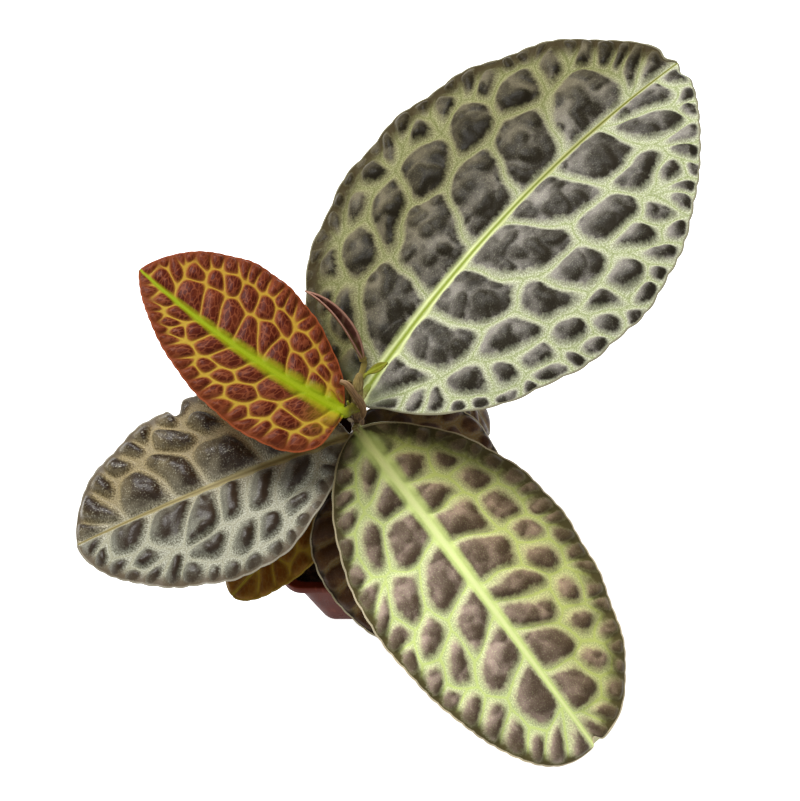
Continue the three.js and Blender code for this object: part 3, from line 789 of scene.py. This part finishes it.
LOOKS = {
    "leaf_silver": leaf_look(
        island=(42, 37, 28), patch=(142, 136, 128), speck=(212, 216, 184), haze=(152, 152, 126),
        net=(152, 158, 116), vein=(112, 124, 58), rib=(210, 218, 158), rib_line=(130, 144, 52),
        margin=(60, 51, 30), edge=(150, 146, 120), under=(112, 70, 62), stalk=(120, 106, 58),
        base=(168, 176, 136), glow=(186, 194, 134), left=(190, 184, 160), shade=(176, 170, 146),
        dull=(186, 176, 158), rag=0.8, fuzz=0.65, web=0.72, fade=0.62, ring=0.4, line=0.5, dusting=0.7,
        lean=-0.5, glow_width=1.9, outer_left=13.0, outer_right=1.0, edge_share=0.6, shade_reach=40.0,
        shade_from=-0.1, roughness=0.42, fan=12.0,
    ),
    "leaf_green": leaf_look(
        island=(84, 68, 54), patch=(188, 164, 150), speck=(236, 246, 180), haze=(192, 196, 148),
        net=(190, 204, 138), vein=(212, 228, 140), rib=(230, 242, 162), rib_line=(238, 246, 172),
        margin=(84, 76, 44), edge=(206, 192, 160), under=(118, 84, 66), stalk=(98, 74, 44),
        base=(176, 196, 118), glow=(222, 240, 152), left=(232, 226, 208), shade=(148, 144, 124), rag=0.9,
        fuzz=0.8, web=0.52, fade=0.95, ring=0.42, line=1.0, line_width=0.8, dusting=0.95, glow_width=3.6,
        outer_left=13.0, outer_right=7.0, edge_share=0.9, shade_reach=70.0, fan=22.0,
    ),
    "leaf_grey": leaf_look(
        island=(46, 33, 20), patch=(119, 115, 100), speck=(206, 203, 181), haze=(114, 108, 90),
        net=(144, 139, 117), vein=(128, 118, 78), rib=(150, 138, 92), rib_line=(116, 102, 56),
        margin=(90, 78, 60), edge=(140, 134, 116), under=(104, 66, 56), stalk=(96, 74, 44),
        base=(176, 168, 134), glow=(150, 140, 100), left=(247, 252, 255), right=(228, 212, 182), fuzz=0.7,
        web=0.72, fade=0.62, ring=0.5, line=0.25, dusting=0.5, lean=-0.62, glow_width=1.8, outer_left=6.0,
        outer_right=6.0, roughness=0.38, gloss=0.26, glint=0.8, fan=12.0,
    ),
    "leaf_red": leaf_look(
        island=(68, 16, 4), patch=(104, 46, 22), speck=(142, 78, 46), haze=(136, 92, 28),
        net=(160, 134, 40), vein=(184, 150, 50), rib=(128, 142, 6), rib_line=(136, 150, 12),
        margin=(108, 50, 21), edge=(140, 68, 34), under=(120, 50, 34), stalk=(92, 78, 36),
        base=(160, 140, 28), glow=(138, 138, 14), right=(250, 240, 236), rag=0.3, web=0.62, fade=0.45,
        line=0.5, dusting=0.25, veinlets=0.5, lean=-0.3, glow_width=3.0, outer_left=7.0, outer_right=7.0,
        gloss=0.1, fan=16.0,
    ),
    "leaf_maroon": leaf_look(
        island=(86, 50, 40), patch=(106, 70, 56), speck=(136, 100, 90), haze=(112, 78, 60),
        net=(128, 98, 70), vein=(104, 78, 50), rib=(130, 112, 56), rib_line=(124, 110, 52),
        margin=(146, 106, 90), edge=(166, 124, 106), under=(86, 52, 44), stalk=(150, 134, 72),
        base=(124, 112, 50), glow=(110, 92, 44), rag=0.5, fuzz=0.3, lean=-0.3, glow_width=1.2,
        outer_left=1.5, outer_right=1.5, gloss=0.12, fan=9.0,
    ),
    "leaf_dark": leaf_look(
        island=(55, 29, 9), patch=(94, 64, 30), speck=(116, 110, 90), haze=(116, 92, 54),
        net=(124, 100, 58), vein=(72, 64, 34), rib=(96, 88, 50), rib_line=(70, 62, 28),
        margin=(40, 28, 14), edge=(190, 180, 148), under=(70, 40, 30), stalk=(80, 58, 34),
        base=(104, 96, 62), glow=(96, 88, 50), shade=(150, 140, 124), fuzz=0.5, dusting=0.4,
        shade_reach=44.0, roughness=0.4, gloss=0.14, fan=16.0,
    ),
    "leaf_olive": leaf_look(
        island=(92, 50, 3), patch=(118, 80, 16), speck=(120, 100, 50), haze=(128, 94, 22),
        net=(146, 118, 34), vein=(150, 128, 40), rib=(150, 134, 44), rib_line=(130, 112, 34),
        margin=(112, 80, 18), edge=(146, 124, 44), under=(88, 52, 28), stalk=(92, 72, 34),
        base=(112, 92, 30), glow=(120, 104, 34), rag=0.6, fuzz=0.4, veinlets=0.2, fan=10.0,
    ),
    "leaf_bud": leaf_look(
        island=(92, 94, 8), patch=(106, 108, 16), speck=(136, 140, 44), haze=(98, 102, 12),
        net=(106, 110, 16), vein=(116, 120, 24), rib=(104, 108, 14), rib_line=(130, 134, 40),
        margin=(84, 82, 12), edge=(118, 112, 40), under=(96, 90, 22), stalk=(108, 102, 40),
        base=(100, 102, 20), glow=(108, 112, 20), rag=0.4, dusting=0.2, lean=-0.2, glow_width=0.6,
        outer_left=0.5, outer_right=0.5, gloss=0.1, fan=0.5,
    ),
}

# The numbers that the mesh gives at each of a leaf's points.
LEAF_FIELDS = ("net", "rib", "rim", "tone", "depth", "stalk", "face", "across", "lump", "draw", "lean")

# Noises on a leaf as (scale per millimetre, detail, distortion).
LEAF_NOISES = dict(
    coarse=(0.12, 3, 0.4), cloud=(0.3, 3, 0.5), medium=(0.45, 3), grain=(1.3, 5), dust=(1.7, 3),
)

# Veinlets lean towards the tip, and their cells are narrow along the leaf and long across it.
VEINLET_LEAN = -0.45
VEINLETS_ALONG = 0.56
VEINLETS_ACROSS = 0.26
DULL_REACH = 90.0
LEAF_BUMP = 0.00022


def leaf_wires(m, look):
    """The mesh's numbers, the noises, and how far a point is inside an island and on the midrib."""
    w = SimpleNamespace(**{key: m.attribute(key) for key in LEAF_FIELDS})
    w.blade = m.attribute("blade", "Vector")
    w.along = m.axis(w.blade, "X")
    w.outward = m.math("ABSOLUTE", m.axis(w.blade, "Y"))
    for key, kind in LEAF_NOISES.items():
        setattr(w, key, m.noise(w.blade, *kind))
    w.ragged = w.net + (m.swing(w.medium, look.rag) + m.swing(w.grain, look.fuzz))
    w.inside = m.smooth(w.ragged + m.swing(w.dust, 0.5), look.web - 0.2, look.web + look.fade)
    w.on_rib = m.smooth(w.rib + m.swing(w.grain, 0.35), 1.7, 0.7)
    return w


def island_colour(m, w, look):
    """Smoke, a pale border, painted light and shade on the flanks, grains of wax, and fine veins on a young
    leaf.
    """
    smoke = m.smooth(w.lump + (m.swing(w.grain, 0.35) + m.swing(w.medium, 0.3)), 0.7, 0.1)
    cover = m.smooth(m.swing(w.coarse, 1.8) + (m.swing(w.tone, 0.6) + m.swing(w.draw, 0.5)), -0.5, 0.6)
    ring = m.smooth(w.ragged, look.web + 0.75, look.web + 0.1)
    pale = smoke * (cover * 0.36 + 0.2) + (cover + m.smooth(w.cloud, 0.42, 0.68)) * 0.12
    # lean paints light and shade on the lumps' flanks: paler on the side turned to the light, darker on the
    # other.
    pale = pale + ring * look.ring + w.lean * look.lean
    island = m.mix(m.smooth(pale, -0.15, 1.0), look.island, look.patch)
    island = m.mix(m.smooth(w.dust, 0.5, 0.75) * (pale * 0.4 + 0.12), island, look.speck)
    sloped = w.along + w.outward * VEINLET_LEAN + m.swing(w.medium, 1.4)
    spread = w.outward + m.swing(w.grain, 1.0)
    veinlets = m.cells(m.flat_vector(sloped * VEINLETS_ALONG, spread * VEINLETS_ACROSS))
    return m.mix(m.smooth(veinlets, 0.12, 0.02) * look.veinlets, island, look.speck)


def web_colour(m, w, look):
    """The net, dusted with wax, with a fine line along its middle and a haze towards the islands."""
    wax = m.smooth(w.dust + m.swing(w.grain, 0.4), 0.42, 0.62)
    web = m.mix(wax * look.dusting, look.net, look.speck)
    line = m.smooth(w.depth + m.swing(w.grain, 0.25), look.line_width, 0.1)
    web = m.mix(line * look.line, web, look.vein)
    haze = m.mix(wax * 0.85, look.haze, look.speck)
    return m.mix(m.smooth(w.ragged, 0.0, look.web * 0.9), web, haze)


def over_blade(m, w, look, colour):
    """The stripe beside the midrib, the halves' painted shade, the foot, and the margin's band and rim."""
    glow = m.smooth(w.rib + m.swing(w.grain, 0.8), look.glow_width, 0.5 * look.glow_width)
    colour = m.mix(glow * 0.8, colour, look.glow)
    # painted shade on the half of the blade turned from the light, with a slight shift of tone
    colour = m.times_colour(m.smooth(w.across, -0.2, 0.5), colour, look.left)
    colour = m.times_colour(m.smooth(w.across, 0.2, -0.5), colour, look.right)
    foot = m.smooth(w.along, look.fan, 0.0) * m.smooth(m.math("ABSOLUTE", w.across), 0.75, 0.1)
    colour = m.mix(foot * 0.75, colour, look.base)
    for low, high, wide in ((0.1, 0.4, look.outer_left), (-0.1, -0.4, look.outer_right)):
        near = m.smooth(w.rim + m.swing(w.medium, 0.5 * wide), wide, 0.25 * wide)
        band = m.smooth(w.across, low, high) * near * m.smooth(w.inside, 1.6, 0.2)
        colour = m.mix(band, colour, look.margin)
    edge = m.smooth(w.rim + m.swing(w.grain, 0.5), 0.85, 0.45)
    return m.mix(edge * look.edge_share, colour, look.edge)


def rib_and_stalk(m, w, look, colour):
    """The midrib, the painted shadow of the leaves above, and the stalk."""
    rib = m.mix(m.smooth(w.rib + m.swing(w.grain, 0.3), 0.9, 0.1), look.rib, look.rib_line)
    far = m.smooth(w.along, look.dull_from, look.dull_from + DULL_REACH)
    colour = m.mix(w.on_rib, colour, m.times_colour(far, rib, look.dull))
    # a painted shadow that the leaves above cast on the foot of the blade
    shade = m.smooth(w.along, look.shade_reach, 0.0)
    shade = shade * m.smooth(w.across, look.shade_from, look.shade_from + 0.4)
    colour = m.times_colour(shade, colour, look.shade)
    streaks = m.mix(m.smooth(w.grain, 0.35, 0.7), look.stalk, look.rib)
    return m.mix(w.stalk * 0.9, colour, m.mix(0.25, look.stalk, streaks))


def lower_face(m, w, look):
    colour = m.mix(m.smooth(w.net, 0.9, 0.3), look.under, look.haze)
    colour = m.mix(m.smooth(w.grain, 0.3, 0.7) * 0.3, colour, look.patch)
    return m.mix(w.on_rib, colour, look.rib)


def leaf_material(name):
    look = LOOKS[name]
    m = Material(name + "_finish")
    w = leaf_wires(m, look)
    colour = m.mix(w.inside, web_colour(m, w, look), island_colour(m, w, look))
    colour = rib_and_stalk(m, w, look, over_blade(m, w, look, colour))
    colour = m.mix(w.face, lower_face(m, w, look), colour)
    # glint: a painted highlight, the colour pulled towards the pale speck on one half, with a real drop in
    # roughness.
    glint = m.smooth(w.dust + m.swing(w.medium, 0.4), 0.58, 0.68) * m.smooth(w.across, 0.0, -0.3)
    glint = glint * w.inside * look.glint
    colour = m.mix(glint * 0.45, colour, look.speck)
    roughness = m.swing(w.grain, 0.2) + m.smooth(w.ragged, 1.4, 0.6) * 0.12 + glint * -0.3 + look.roughness
    bump = m.bump(w.grain * 0.9 + w.dust * 0.5, LEAF_BUMP, 0.7)
    return m.set(colour=colour, roughness=roughness, normal=bump, specular=look.gloss)


# The straps on the stem: a dry sheath, a scale, a young shoot and a stub.
STRAPS = (
    dict(
        name="stem_sheath", width=1.85, dark=(86, 60, 36), light=(134, 104, 68), brim=(176, 146, 108),
        path=((-15.2, 7.6, 169), (-12.6, 6.2, 169.2), (-9.6, 3.6, 165.6), (-7.2, 2.4, 159.5),
              (-6.7, 2.2, 153), (-7.4, 2.6, 148)),
    ),
    dict(
        name="stem_scale", width=2.3, dark=(70, 58, 28), light=(112, 98, 48), brim=(150, 132, 84),
        path=((-11, 4.2, 145), (-12.4, 4.8, 150), (-13.2, 6, 156), (-12.8, 8, 162), (-11.6, 10, 166)),
    ),
    dict(
        name="stem_shoot", width=0.85, dark=(128, 136, 30), light=(164, 170, 56), brim=(176, 176, 90),
        path=((-10.6, 3.0, 154.5), (-12.0, 2.9, 158.0), (-12.6, 3.4, 161.5)),
    ),
    dict(
        name="stem_stub", width=1.0, dark=(150, 132, 100), light=(186, 168, 138), brim=(196, 180, 150),
        path=((-9.4, 2.4, 147.0), (-11.4, 1.6, 148.4), (-12.9, 1.4, 150.6)),
    ),
)
STRAP_OUTWARD = (-0.1, -0.75, 0.6)
STRAP_RINGS, STRAP_SIDES = 60, 20
STRAP_THICKNESS = 0.22
STRAP_MIDDLE = 0.1
STRAP_HOLLOW = 0.45
STRAP_LIFT = 0.3


def make_strap(name, path, width, dark, light, brim):
    """A thin curved strap of dry or young tissue on the stem, hollow on its inner side."""
    rings, sides = STRAP_RINGS, STRAP_SIDES
    path = catmull_rom(path, rings)
    tangent = unit(np.gradient(path, axis=0))
    share = np.linspace(0.0, 1.0, rings)
    half = width * (0.27 + 0.73 * np.sin(math.pi * np.clip(share * 0.9 + 0.08, 0, 1)) ** 0.7)
    outward = np.array(STRAP_OUTWARD)
    places, rows, brims = [], [], []
    for k in range(rings):
        out = unit(outward - (outward @ tangent[k]) * tangent[k])
        side = np.cross(tangent[k], out)
        for i in range(sides):
            c, w = math.cos(2 * math.pi * i / sides), math.sin(2 * math.pi * i / sides)
            thick = STRAP_THICKNESS + STRAP_MIDDLE * (1 - c * c)
            rise = thick * w - STRAP_HOLLOW * half[k] * c * c + STRAP_LIFT
            places.append(path[k] + side * half[k] * c + out * rise)
            rows.append((c * 2.0, share[k] * 26, 0.0))
            brims.append(abs(c) ** 6)
    m = Material(name + "_tissue")
    streaks = m.noise(m.stretch(m.attribute("bark", "Vector"), (2.2, 0.2, 1.0)), 1.0, 4)
    colour = m.mix(m.smooth(streaks, 0.32, 0.68), tint(*dark), tint(*light))
    colour = m.mix(m.attribute("brim") * 0.8, colour, tint(*brim))
    m.set(colour=colour, roughness=0.6, specular=0.25, normal=m.bump(streaks, 0.0002, 0.6))
    fields = dict(bark=np.array(rows), brim=np.array(brims))
    piece = mesh_object(name, np.array(places), ring_faces(rings, sides), fields, m.material, sharp=70)
    finish_piece(piece, "bark")


# The stem: a scurfy brown tube with a ring at every leaf.
def make_stem():
    rings, sides = STEM_RINGS, STEM_SIDES
    centres = catmull_rom(STEM_PATH, rings)
    tangent = unit(np.gradient(centres, axis=0))
    side = np.array([1.0, 0.0, 0.0])
    share = np.linspace(0.0, 1.0, rings)
    radius = STEM_RADIUS_BOTTOM + (STEM_RADIUS_TOP - STEM_RADIUS_BOTTOM) * share ** STEM_TAPER
    top = np.clip((share - STEM_ROUND_FROM) / (1 - STEM_ROUND_FROM), 0, 1)
    radius *= np.sqrt(1 - 0.9 * top ** 2)
    scar = np.zeros(rings)
    for leaf in LEAVES:
        apart = centres[:, 2] - leaf.node
        radius += NODE_SWELL * np.exp(-(apart / NODE_WIDTH) ** 2)
        scar += np.exp(-((apart + SCAR_BELOW) / SCAR_WIDTH) ** 2)
    places, rows = [], []
    for k in range(rings):
        side = unit(side - (side @ tangent[k]) * tangent[k])
        other = np.cross(tangent[k], side)
        turn = 2 * math.pi * np.arange(sides) / sides
        z = np.full(sides, centres[k, 2])
        rough = BARK_ROUGHNESS * waves_2d(turn * 3.4, z, 1.1, 7, 8)
        ridges = BARK_RIDGES * waves_2d(turn * 3.4, z * 0.18, 1.0, 8, 8)
        reach = radius[k] + rough + ridges - SCAR_DEPTH * scar[k]
        ring = np.outer(reach * np.cos(turn), side) + np.outer(reach * np.sin(turn), other)
        places.append(centres[k] + ring)
        rows.append(np.stack([turn * 3.0, z, np.zeros(sides)], axis=1))
    fields = dict(bark=np.vstack(rows), scar=np.repeat(scar, sides))
    faces = ring_faces(rings, sides)
    piece = mesh_object("stem_bark", np.vstack(places), faces, fields, bark_material(), sharp=70)
    finish_piece(piece, "bark", "stem")
    for strap in STRAPS:
        make_strap(**strap)


def bark_material():
    m = Material("bark")
    place = m.place()
    streaks = m.noise(m.stretch(m.attribute("bark", "Vector"), (1.6, 0.25, 1.0)), 1.0, 4)
    scurf = m.noise(place, 1400.0, 4)
    colour = m.mix(m.smooth(streaks, 0.35, 0.68), tint(66, 46, 28), tint(124, 96, 62))
    colour = m.mix(m.smooth(scurf, 0.55, 0.72) * 0.6, colour, tint(156, 132, 96))
    young = m.smooth(m.axis(place, "Z") + m.swing(streaks, 0.012), 0.150, 0.166)
    green = m.mix(m.smooth(streaks, 0.3, 0.7), tint(112, 92, 44), tint(156, 138, 82))
    colour = m.mix(young * 0.85, colour, green)
    colour = m.mix(m.math("MINIMUM", m.attribute("scar") * 0.6, 1.0), colour, tint(52, 38, 22))
    bump = m.bump(streaks + scurf * 0.5, 0.0004, 0.8)
    return m.set(colour=colour, roughness=0.7, specular=0.3, normal=bump)


# The soil: a bumpy peat surface with crumbs on it, over the plain sides of the root ball.
def soil_height(x, y):
    bump = sum(share * np.sin(ax * x + ay * y + phase) for share, ax, ay, phase in SOIL_WAVES)
    fine = SOIL_COARSE * waves_2d(x, y, 2.6, 21, 10) + SOIL_FINE * waves_2d(x, y, 1.1, 22, 12)
    return SOIL_TOP + SOIL_BUMP * bump + fine


def wall_half(z):
    return BASE_HALF + (RIM_HALF - LIP_STEP - BASE_HALF) * z / POT_HEIGHT


def wall_corner(z):
    return BASE_CORNER + (RIM_CORNER - BASE_CORNER) * z / POT_HEIGHT


def rounded_square(half, corner, z, edge=SIDE_STEPS):
    """A square ring with round corners and points along its sides, counter-clockwise from above."""
    ring = []
    flat = half - corner
    for side in range(4):
        start = math.pi / 2 * side
        sx = 1 if side in (0, 3) else -1
        sy = 1 if side < 2 else -1
        for k in range(CORNER_STEPS + 1):
            turn = start + math.pi / 2 * k / CORNER_STEPS
            ring.append((sx * flat + corner * math.cos(turn), sy * flat + corner * math.sin(turn), z))
        end = np.array(ring[-1])
        way = np.array([-math.cos(start), -math.sin(start), 0.0])
        for k in range(1, edge):
            ring.append(tuple(end + way * (2 * flat * k / edge)))
    return np.array(ring)


def root_ball_ring(z):
    inset = WALL + GAP
    return rounded_square(wall_half(z) - inset, wall_corner(z) - inset, z, SOIL_SIDE_STEPS)


def make_soil():
    outer = root_ball_ring(SOIL_TOP)
    count = len(outer)
    turn = np.arctan2(outer[:, 1], outer[:, 0])
    hole = STEM_HOLE * np.stack([np.cos(turn), np.sin(turn)], axis=1)
    mouth = hole + (STEM_PATH[1][0], 0)
    foot = FLOOR + GAP
    rings = []
    for z in np.linspace(foot, SOIL_TOP - 1.0, SOIL_RINGS):
        ring = root_ball_ring(z)
        pull = 0.25 * waves_2d(np.arange(count) * 1.3, np.full(count, z), 6.0, 31, 8) - 0.3
        rings.append(ring * np.stack([1 + pull / SOIL_HALF, 1 + pull / SOIL_HALF, np.ones(count)], axis=1))
    for share in np.linspace(0.0, 1.0, SOIL_TOP_RINGS + 1):
        x, y = (outer[:, :2] + share * (mouth - outer[:, :2])).T
        rings.append(np.stack([x, y, soil_height(x, y)], axis=1))
    rings.append(np.column_stack([hole, np.full(count, STEM_FOOT - GAP)]))
    faces = ring_faces(len(rings), count)
    peat = peat_material()
    piece = mesh_object("soil_peat", np.vstack(rings), faces, None, peat, sharp=70)
    finish_piece(piece, "soil", "soil")
    make_crumbs(peat)


def make_crumbs(peat):
    """Loose crumbs and chips of peat, seeded, lying on the soil and sunk a little into it."""
    rng = np.random.default_rng(5)
    shape = bmesh.new()
    bmesh.ops.create_icosphere(shape, subdivisions=2, radius=1.0)
    corners = np.array([v.co for v in shape.verts])
    triangles = [[v.index for v in f.verts] for f in shape.faces]
    shape.free()
    places, faces = [], []
    half = wall_half(SOIL_TOP) - WALL - 3.0
    made = 0
    while made < CRUMBS:
        x, y = rng.uniform(-half, half, 2)
        if math.hypot(x - STEM_PATH[1][0], y) < STEM_HOLE + CRUMB_ROOM or max(abs(x), abs(y)) > half - 1:
            continue
        size = rng.uniform(*CRUMB_SIZES) ** CRUMB_BIAS
        form = corners * rng.uniform(*CRUMB_STRETCH, 3) * size
        dents = waves_2d(corners[:, 0] * 3, corners[:, 1] * 3 + corners[:, 2] * 2, 2.0, made, 4)
        form = form * (1 + CRUMB_DENTS * dents)[:, None]
        spin = rng.uniform(0, math.pi)
        x_way = np.array([math.cos(spin), math.sin(spin), 0])
        y_way = np.array([-math.sin(spin), math.cos(spin), 0])
        z = soil_height(np.array([x]), np.array([y]))[0] + CRUMB_RISE * size
        form = form[:, :1] * x_way + form[:, 1:2] * y_way + form[:, 2:] * UP * CRUMB_FLAT + (x, y, z)
        faces += [[i + made * len(corners) for i in t] for t in triangles]
        places.append(form)
        made += 1
    piece = mesh_object("soil_crumbs", np.vstack(places), faces, None, peat, sharp=50)
    finish_piece(piece, "soil")


def peat_material():
    m = Material("peat")
    place = m.place()
    lumps = m.noise(place, 260.0, 5)
    grit = m.noise(place, 1500.0, 3)
    fibre = m.noise(m.stretch(place, (1.0, 0.25, 1.0)), 900.0, 3)
    colour = m.mix(m.smooth(lumps, 0.35, 0.7), tint(24, 17, 12), tint(58, 42, 29))
    colour = m.mix(m.smooth(fibre, 0.6, 0.72) * 0.5, colour, tint(104, 80, 54))
    colour = m.mix(m.smooth(grit, 0.62, 0.75) * 0.4, colour, tint(80, 66, 52))
    bump = m.bump(lumps + grit * 0.5, 0.0012, 0.9)
    return m.set(colour=colour, roughness=0.92, specular=0.15, normal=bump)


# The pot: thin moulded plastic with a rolled lip and four drain holes.
def quarter(count):
    """Even steps through a quarter turn as (share, sine, cosine)."""
    return [(share, math.sin(math.pi / 2 * share), math.cos(math.pi / 2 * share))
            for share in np.linspace(0.0, 1.0, count)]


def pot_profile():
    """The wall as (half width, corner, height), up the outside, over the lip and down the inside."""
    foot = POT_HEIGHT - LIP_DEPTH
    half, corner = wall_half(POT_HEIGHT) - WALL, RIM_CORNER - WALL + CORNER_CHANGE
    steps = [(BASE_HALF - FOOT_ROUND * (1 - s), BASE_CORNER, FOOT_ROUND * (1 - c)) for _, s, c in quarter(5)]
    steps += [(wall_half(z), wall_corner(z), z) for z in np.linspace(4.0, foot, 16)]
    steps += [(RIM_HALF - 0.9, RIM_CORNER, foot + 0.05)]
    steps += [(RIM_HALF - 0.5 * (1 - s), RIM_CORNER, foot + 0.5 - 0.45 * c) for _, s, c in quarter(4)]
    for share, s, c in quarter(6):
        steps.append((RIM_HALF - LIP_ROUND * (1 - c), RIM_CORNER - CORNER_CHANGE * share,
                      POT_HEIGHT - LIP_ROUND * (1 - s)))
    for share, s, c in quarter(MOUTH_STEPS):
        steps.append((half + MOUTH_ROUND * (1 - s), corner - CORNER_CHANGE * share,
                      POT_HEIGHT - MOUTH_ROUND * (1 - c)))
    for z in np.linspace(POT_HEIGHT - 3.0, FLOOR, INNER_STEPS):
        steps.append((wall_half(z) - WALL, wall_corner(z) - WALL, z))
    return steps


def make_pot():
    rings = [rounded_square(*step) for step in pot_profile()]
    # within marks the inside of the pot, which the finish darkens: painted shade, with some soil stain.
    within = np.zeros((len(rings), len(rings[0])))
    within[-INNER_STEPS:] = 1.0
    within[-INNER_STEPS - MOUTH_STEPS:-INNER_STEPS] = np.linspace(0.2, 0.9, MOUTH_STEPS)[:, None]
    piece = mesh_object("pot_shell", np.vstack(rings), ring_faces(len(rings), len(rings[0])),
                        dict(within=within.ravel()), sharp=35)
    drill_holes(piece)
    piece.data.materials.clear()
    piece.data.materials.append(pot_material())
    finish_piece(piece, "pot", "pot")


def drill_holes(piece):
    """Cuts the four drain holes through the floor and keeps the result as the piece's mesh."""
    turn = 2 * math.pi * np.arange(DRILL_SIDES) / DRILL_SIDES
    drills = []
    for sx, sy in ((-1, -1), (-1, 1), (1, -1), (1, 1)):
        x = sx * DRAIN_OFFSET + DRAIN_RADIUS * np.cos(turn)
        y = sy * DRAIN_OFFSET + DRAIN_RADIUS * np.sin(turn)
        rings = [np.stack([x, y, np.full(DRILL_SIDES, z)], axis=1) for z in DRILL_HEIGHTS]
        drills.append(mesh_object("drill", np.vstack(rings), ring_faces(2, DRILL_SIDES)))
    for drill in drills:
        cut = piece.modifiers.new("drain", "BOOLEAN")
        cut.operation = "DIFFERENCE"
        cut.solver = "EXACT"
        cut.object = drill
    graph = bpy.context.evaluated_depsgraph_get()
    cut_mesh = bpy.data.meshes.new_from_object(piece.evaluated_get(graph))
    piece.modifiers.clear()
    piece.data = cut_mesh
    cut_mesh.shade_smooth()
    cut_mesh.set_sharp_from_angle(angle=math.radians(35))
    for drill in drills:
        bpy.data.objects.remove(drill)


def pot_material():
    m = Material("pot_plastic")
    place = m.place()
    scuff = m.noise(m.stretch(place, (1.0, 1.0, 0.2)), 320.0, 4)
    colour = m.mix(m.smooth(m.noise(place, 30.0, 3), 0.3, 0.7), tint(68, 23, 11), tint(82, 30, 16))
    colour = m.mix(m.smooth(scuff, 0.6, 0.75) * 0.22, colour, tint(140, 80, 60))
    # the inside of the pot darkened: painted shade, with some soil stain
    within = m.smooth(m.attribute("within") + m.swing(scuff, 0.5), 0.1, 0.9)
    colour = m.mix(within * 0.9, colour, tint(26, 16, 12))
    return m.set(colour=colour, roughness=m.swing(scuff, 0.2) + 0.3, ior=1.02, coat=0.04, coat_roughness=0.12,
                 normal=m.bump(m.noise(place, 2400.0, 2), 0.00006, 0.5))


# The studio: camera, soft light and a pale floor that glows near the pot.
def make_studio():
    scene = bpy.context.scene
    scene.view_settings.view_transform = "Standard"
    tilt = math.radians(CAMERA_ELEVATION)
    data = bpy.data.cameras.new("camera")
    data.lens = CAMERA_LENS
    camera = bpy.data.objects.new("camera", data)
    away = Vector((0.0, -math.cos(tilt), math.sin(tilt))) * CAMERA_DISTANCE
    camera.location = (Vector(CAMERA_TARGET) + away) * MM
    camera.rotation_euler = (math.pi / 2 - tilt, 0.0, 0.0)
    data.clip_start = CLIP_START
    scene.collection.objects.link(camera)
    scene.camera = camera

    world = bpy.data.worlds.new("world")
    world.use_nodes = True
    sky = world.node_tree.nodes["Background"]
    sky.inputs["Color"].default_value = tint(255, 255, 255)
    sky.inputs["Strength"].default_value = SKY_STRENGTH
    scene.world = world

    for light in LIGHTS:
        add_light(**light)

    corners = [(x * FLOOR_HALF, y * FLOOR_HALF, 0) for x, y in ((-1, -1), (1, -1), (1, 1), (-1, 1))]
    mesh_object("floor", corners, [(0, 1, 2, 3)], None, floor_material())


def floor_material():
    m = Material("floor")
    white = m.mix(m.noise(m.place(), 3.0, 2), tint(248, 248, 248), tint(252, 252, 252))
    far = m.node("VectorMath", "Value", {0: m.place()}, operation="LENGTH")
    return m.set(colour=white, roughness=0.9, specular=0.1, light=tint(255, 255, 255),
                 light_strength=m.smooth(far, 2.6, 0.8, 0.0, 0.85))


def add_light(name, place, size, energy):
    data = bpy.data.lights.new(name, "AREA")
    data.shape = "DISK"
    data.size = size
    data.energy = energy
    light = bpy.data.objects.new(name, data)
    light.location = Vector(place) * MM
    aim = Vector(CAMERA_TARGET) * MM - light.location
    light.rotation_euler = aim.to_track_quat("-Z", "Y").to_euler()
    bpy.context.scene.collection.objects.link(light)


make_studio()
make_pot()
make_soil()
make_stem()
finishes = {slot: leaf_material(slot) for slot in LOOKS}
for leaf in LEAVES:
    make_leaf(leaf, finishes[leaf.slot])
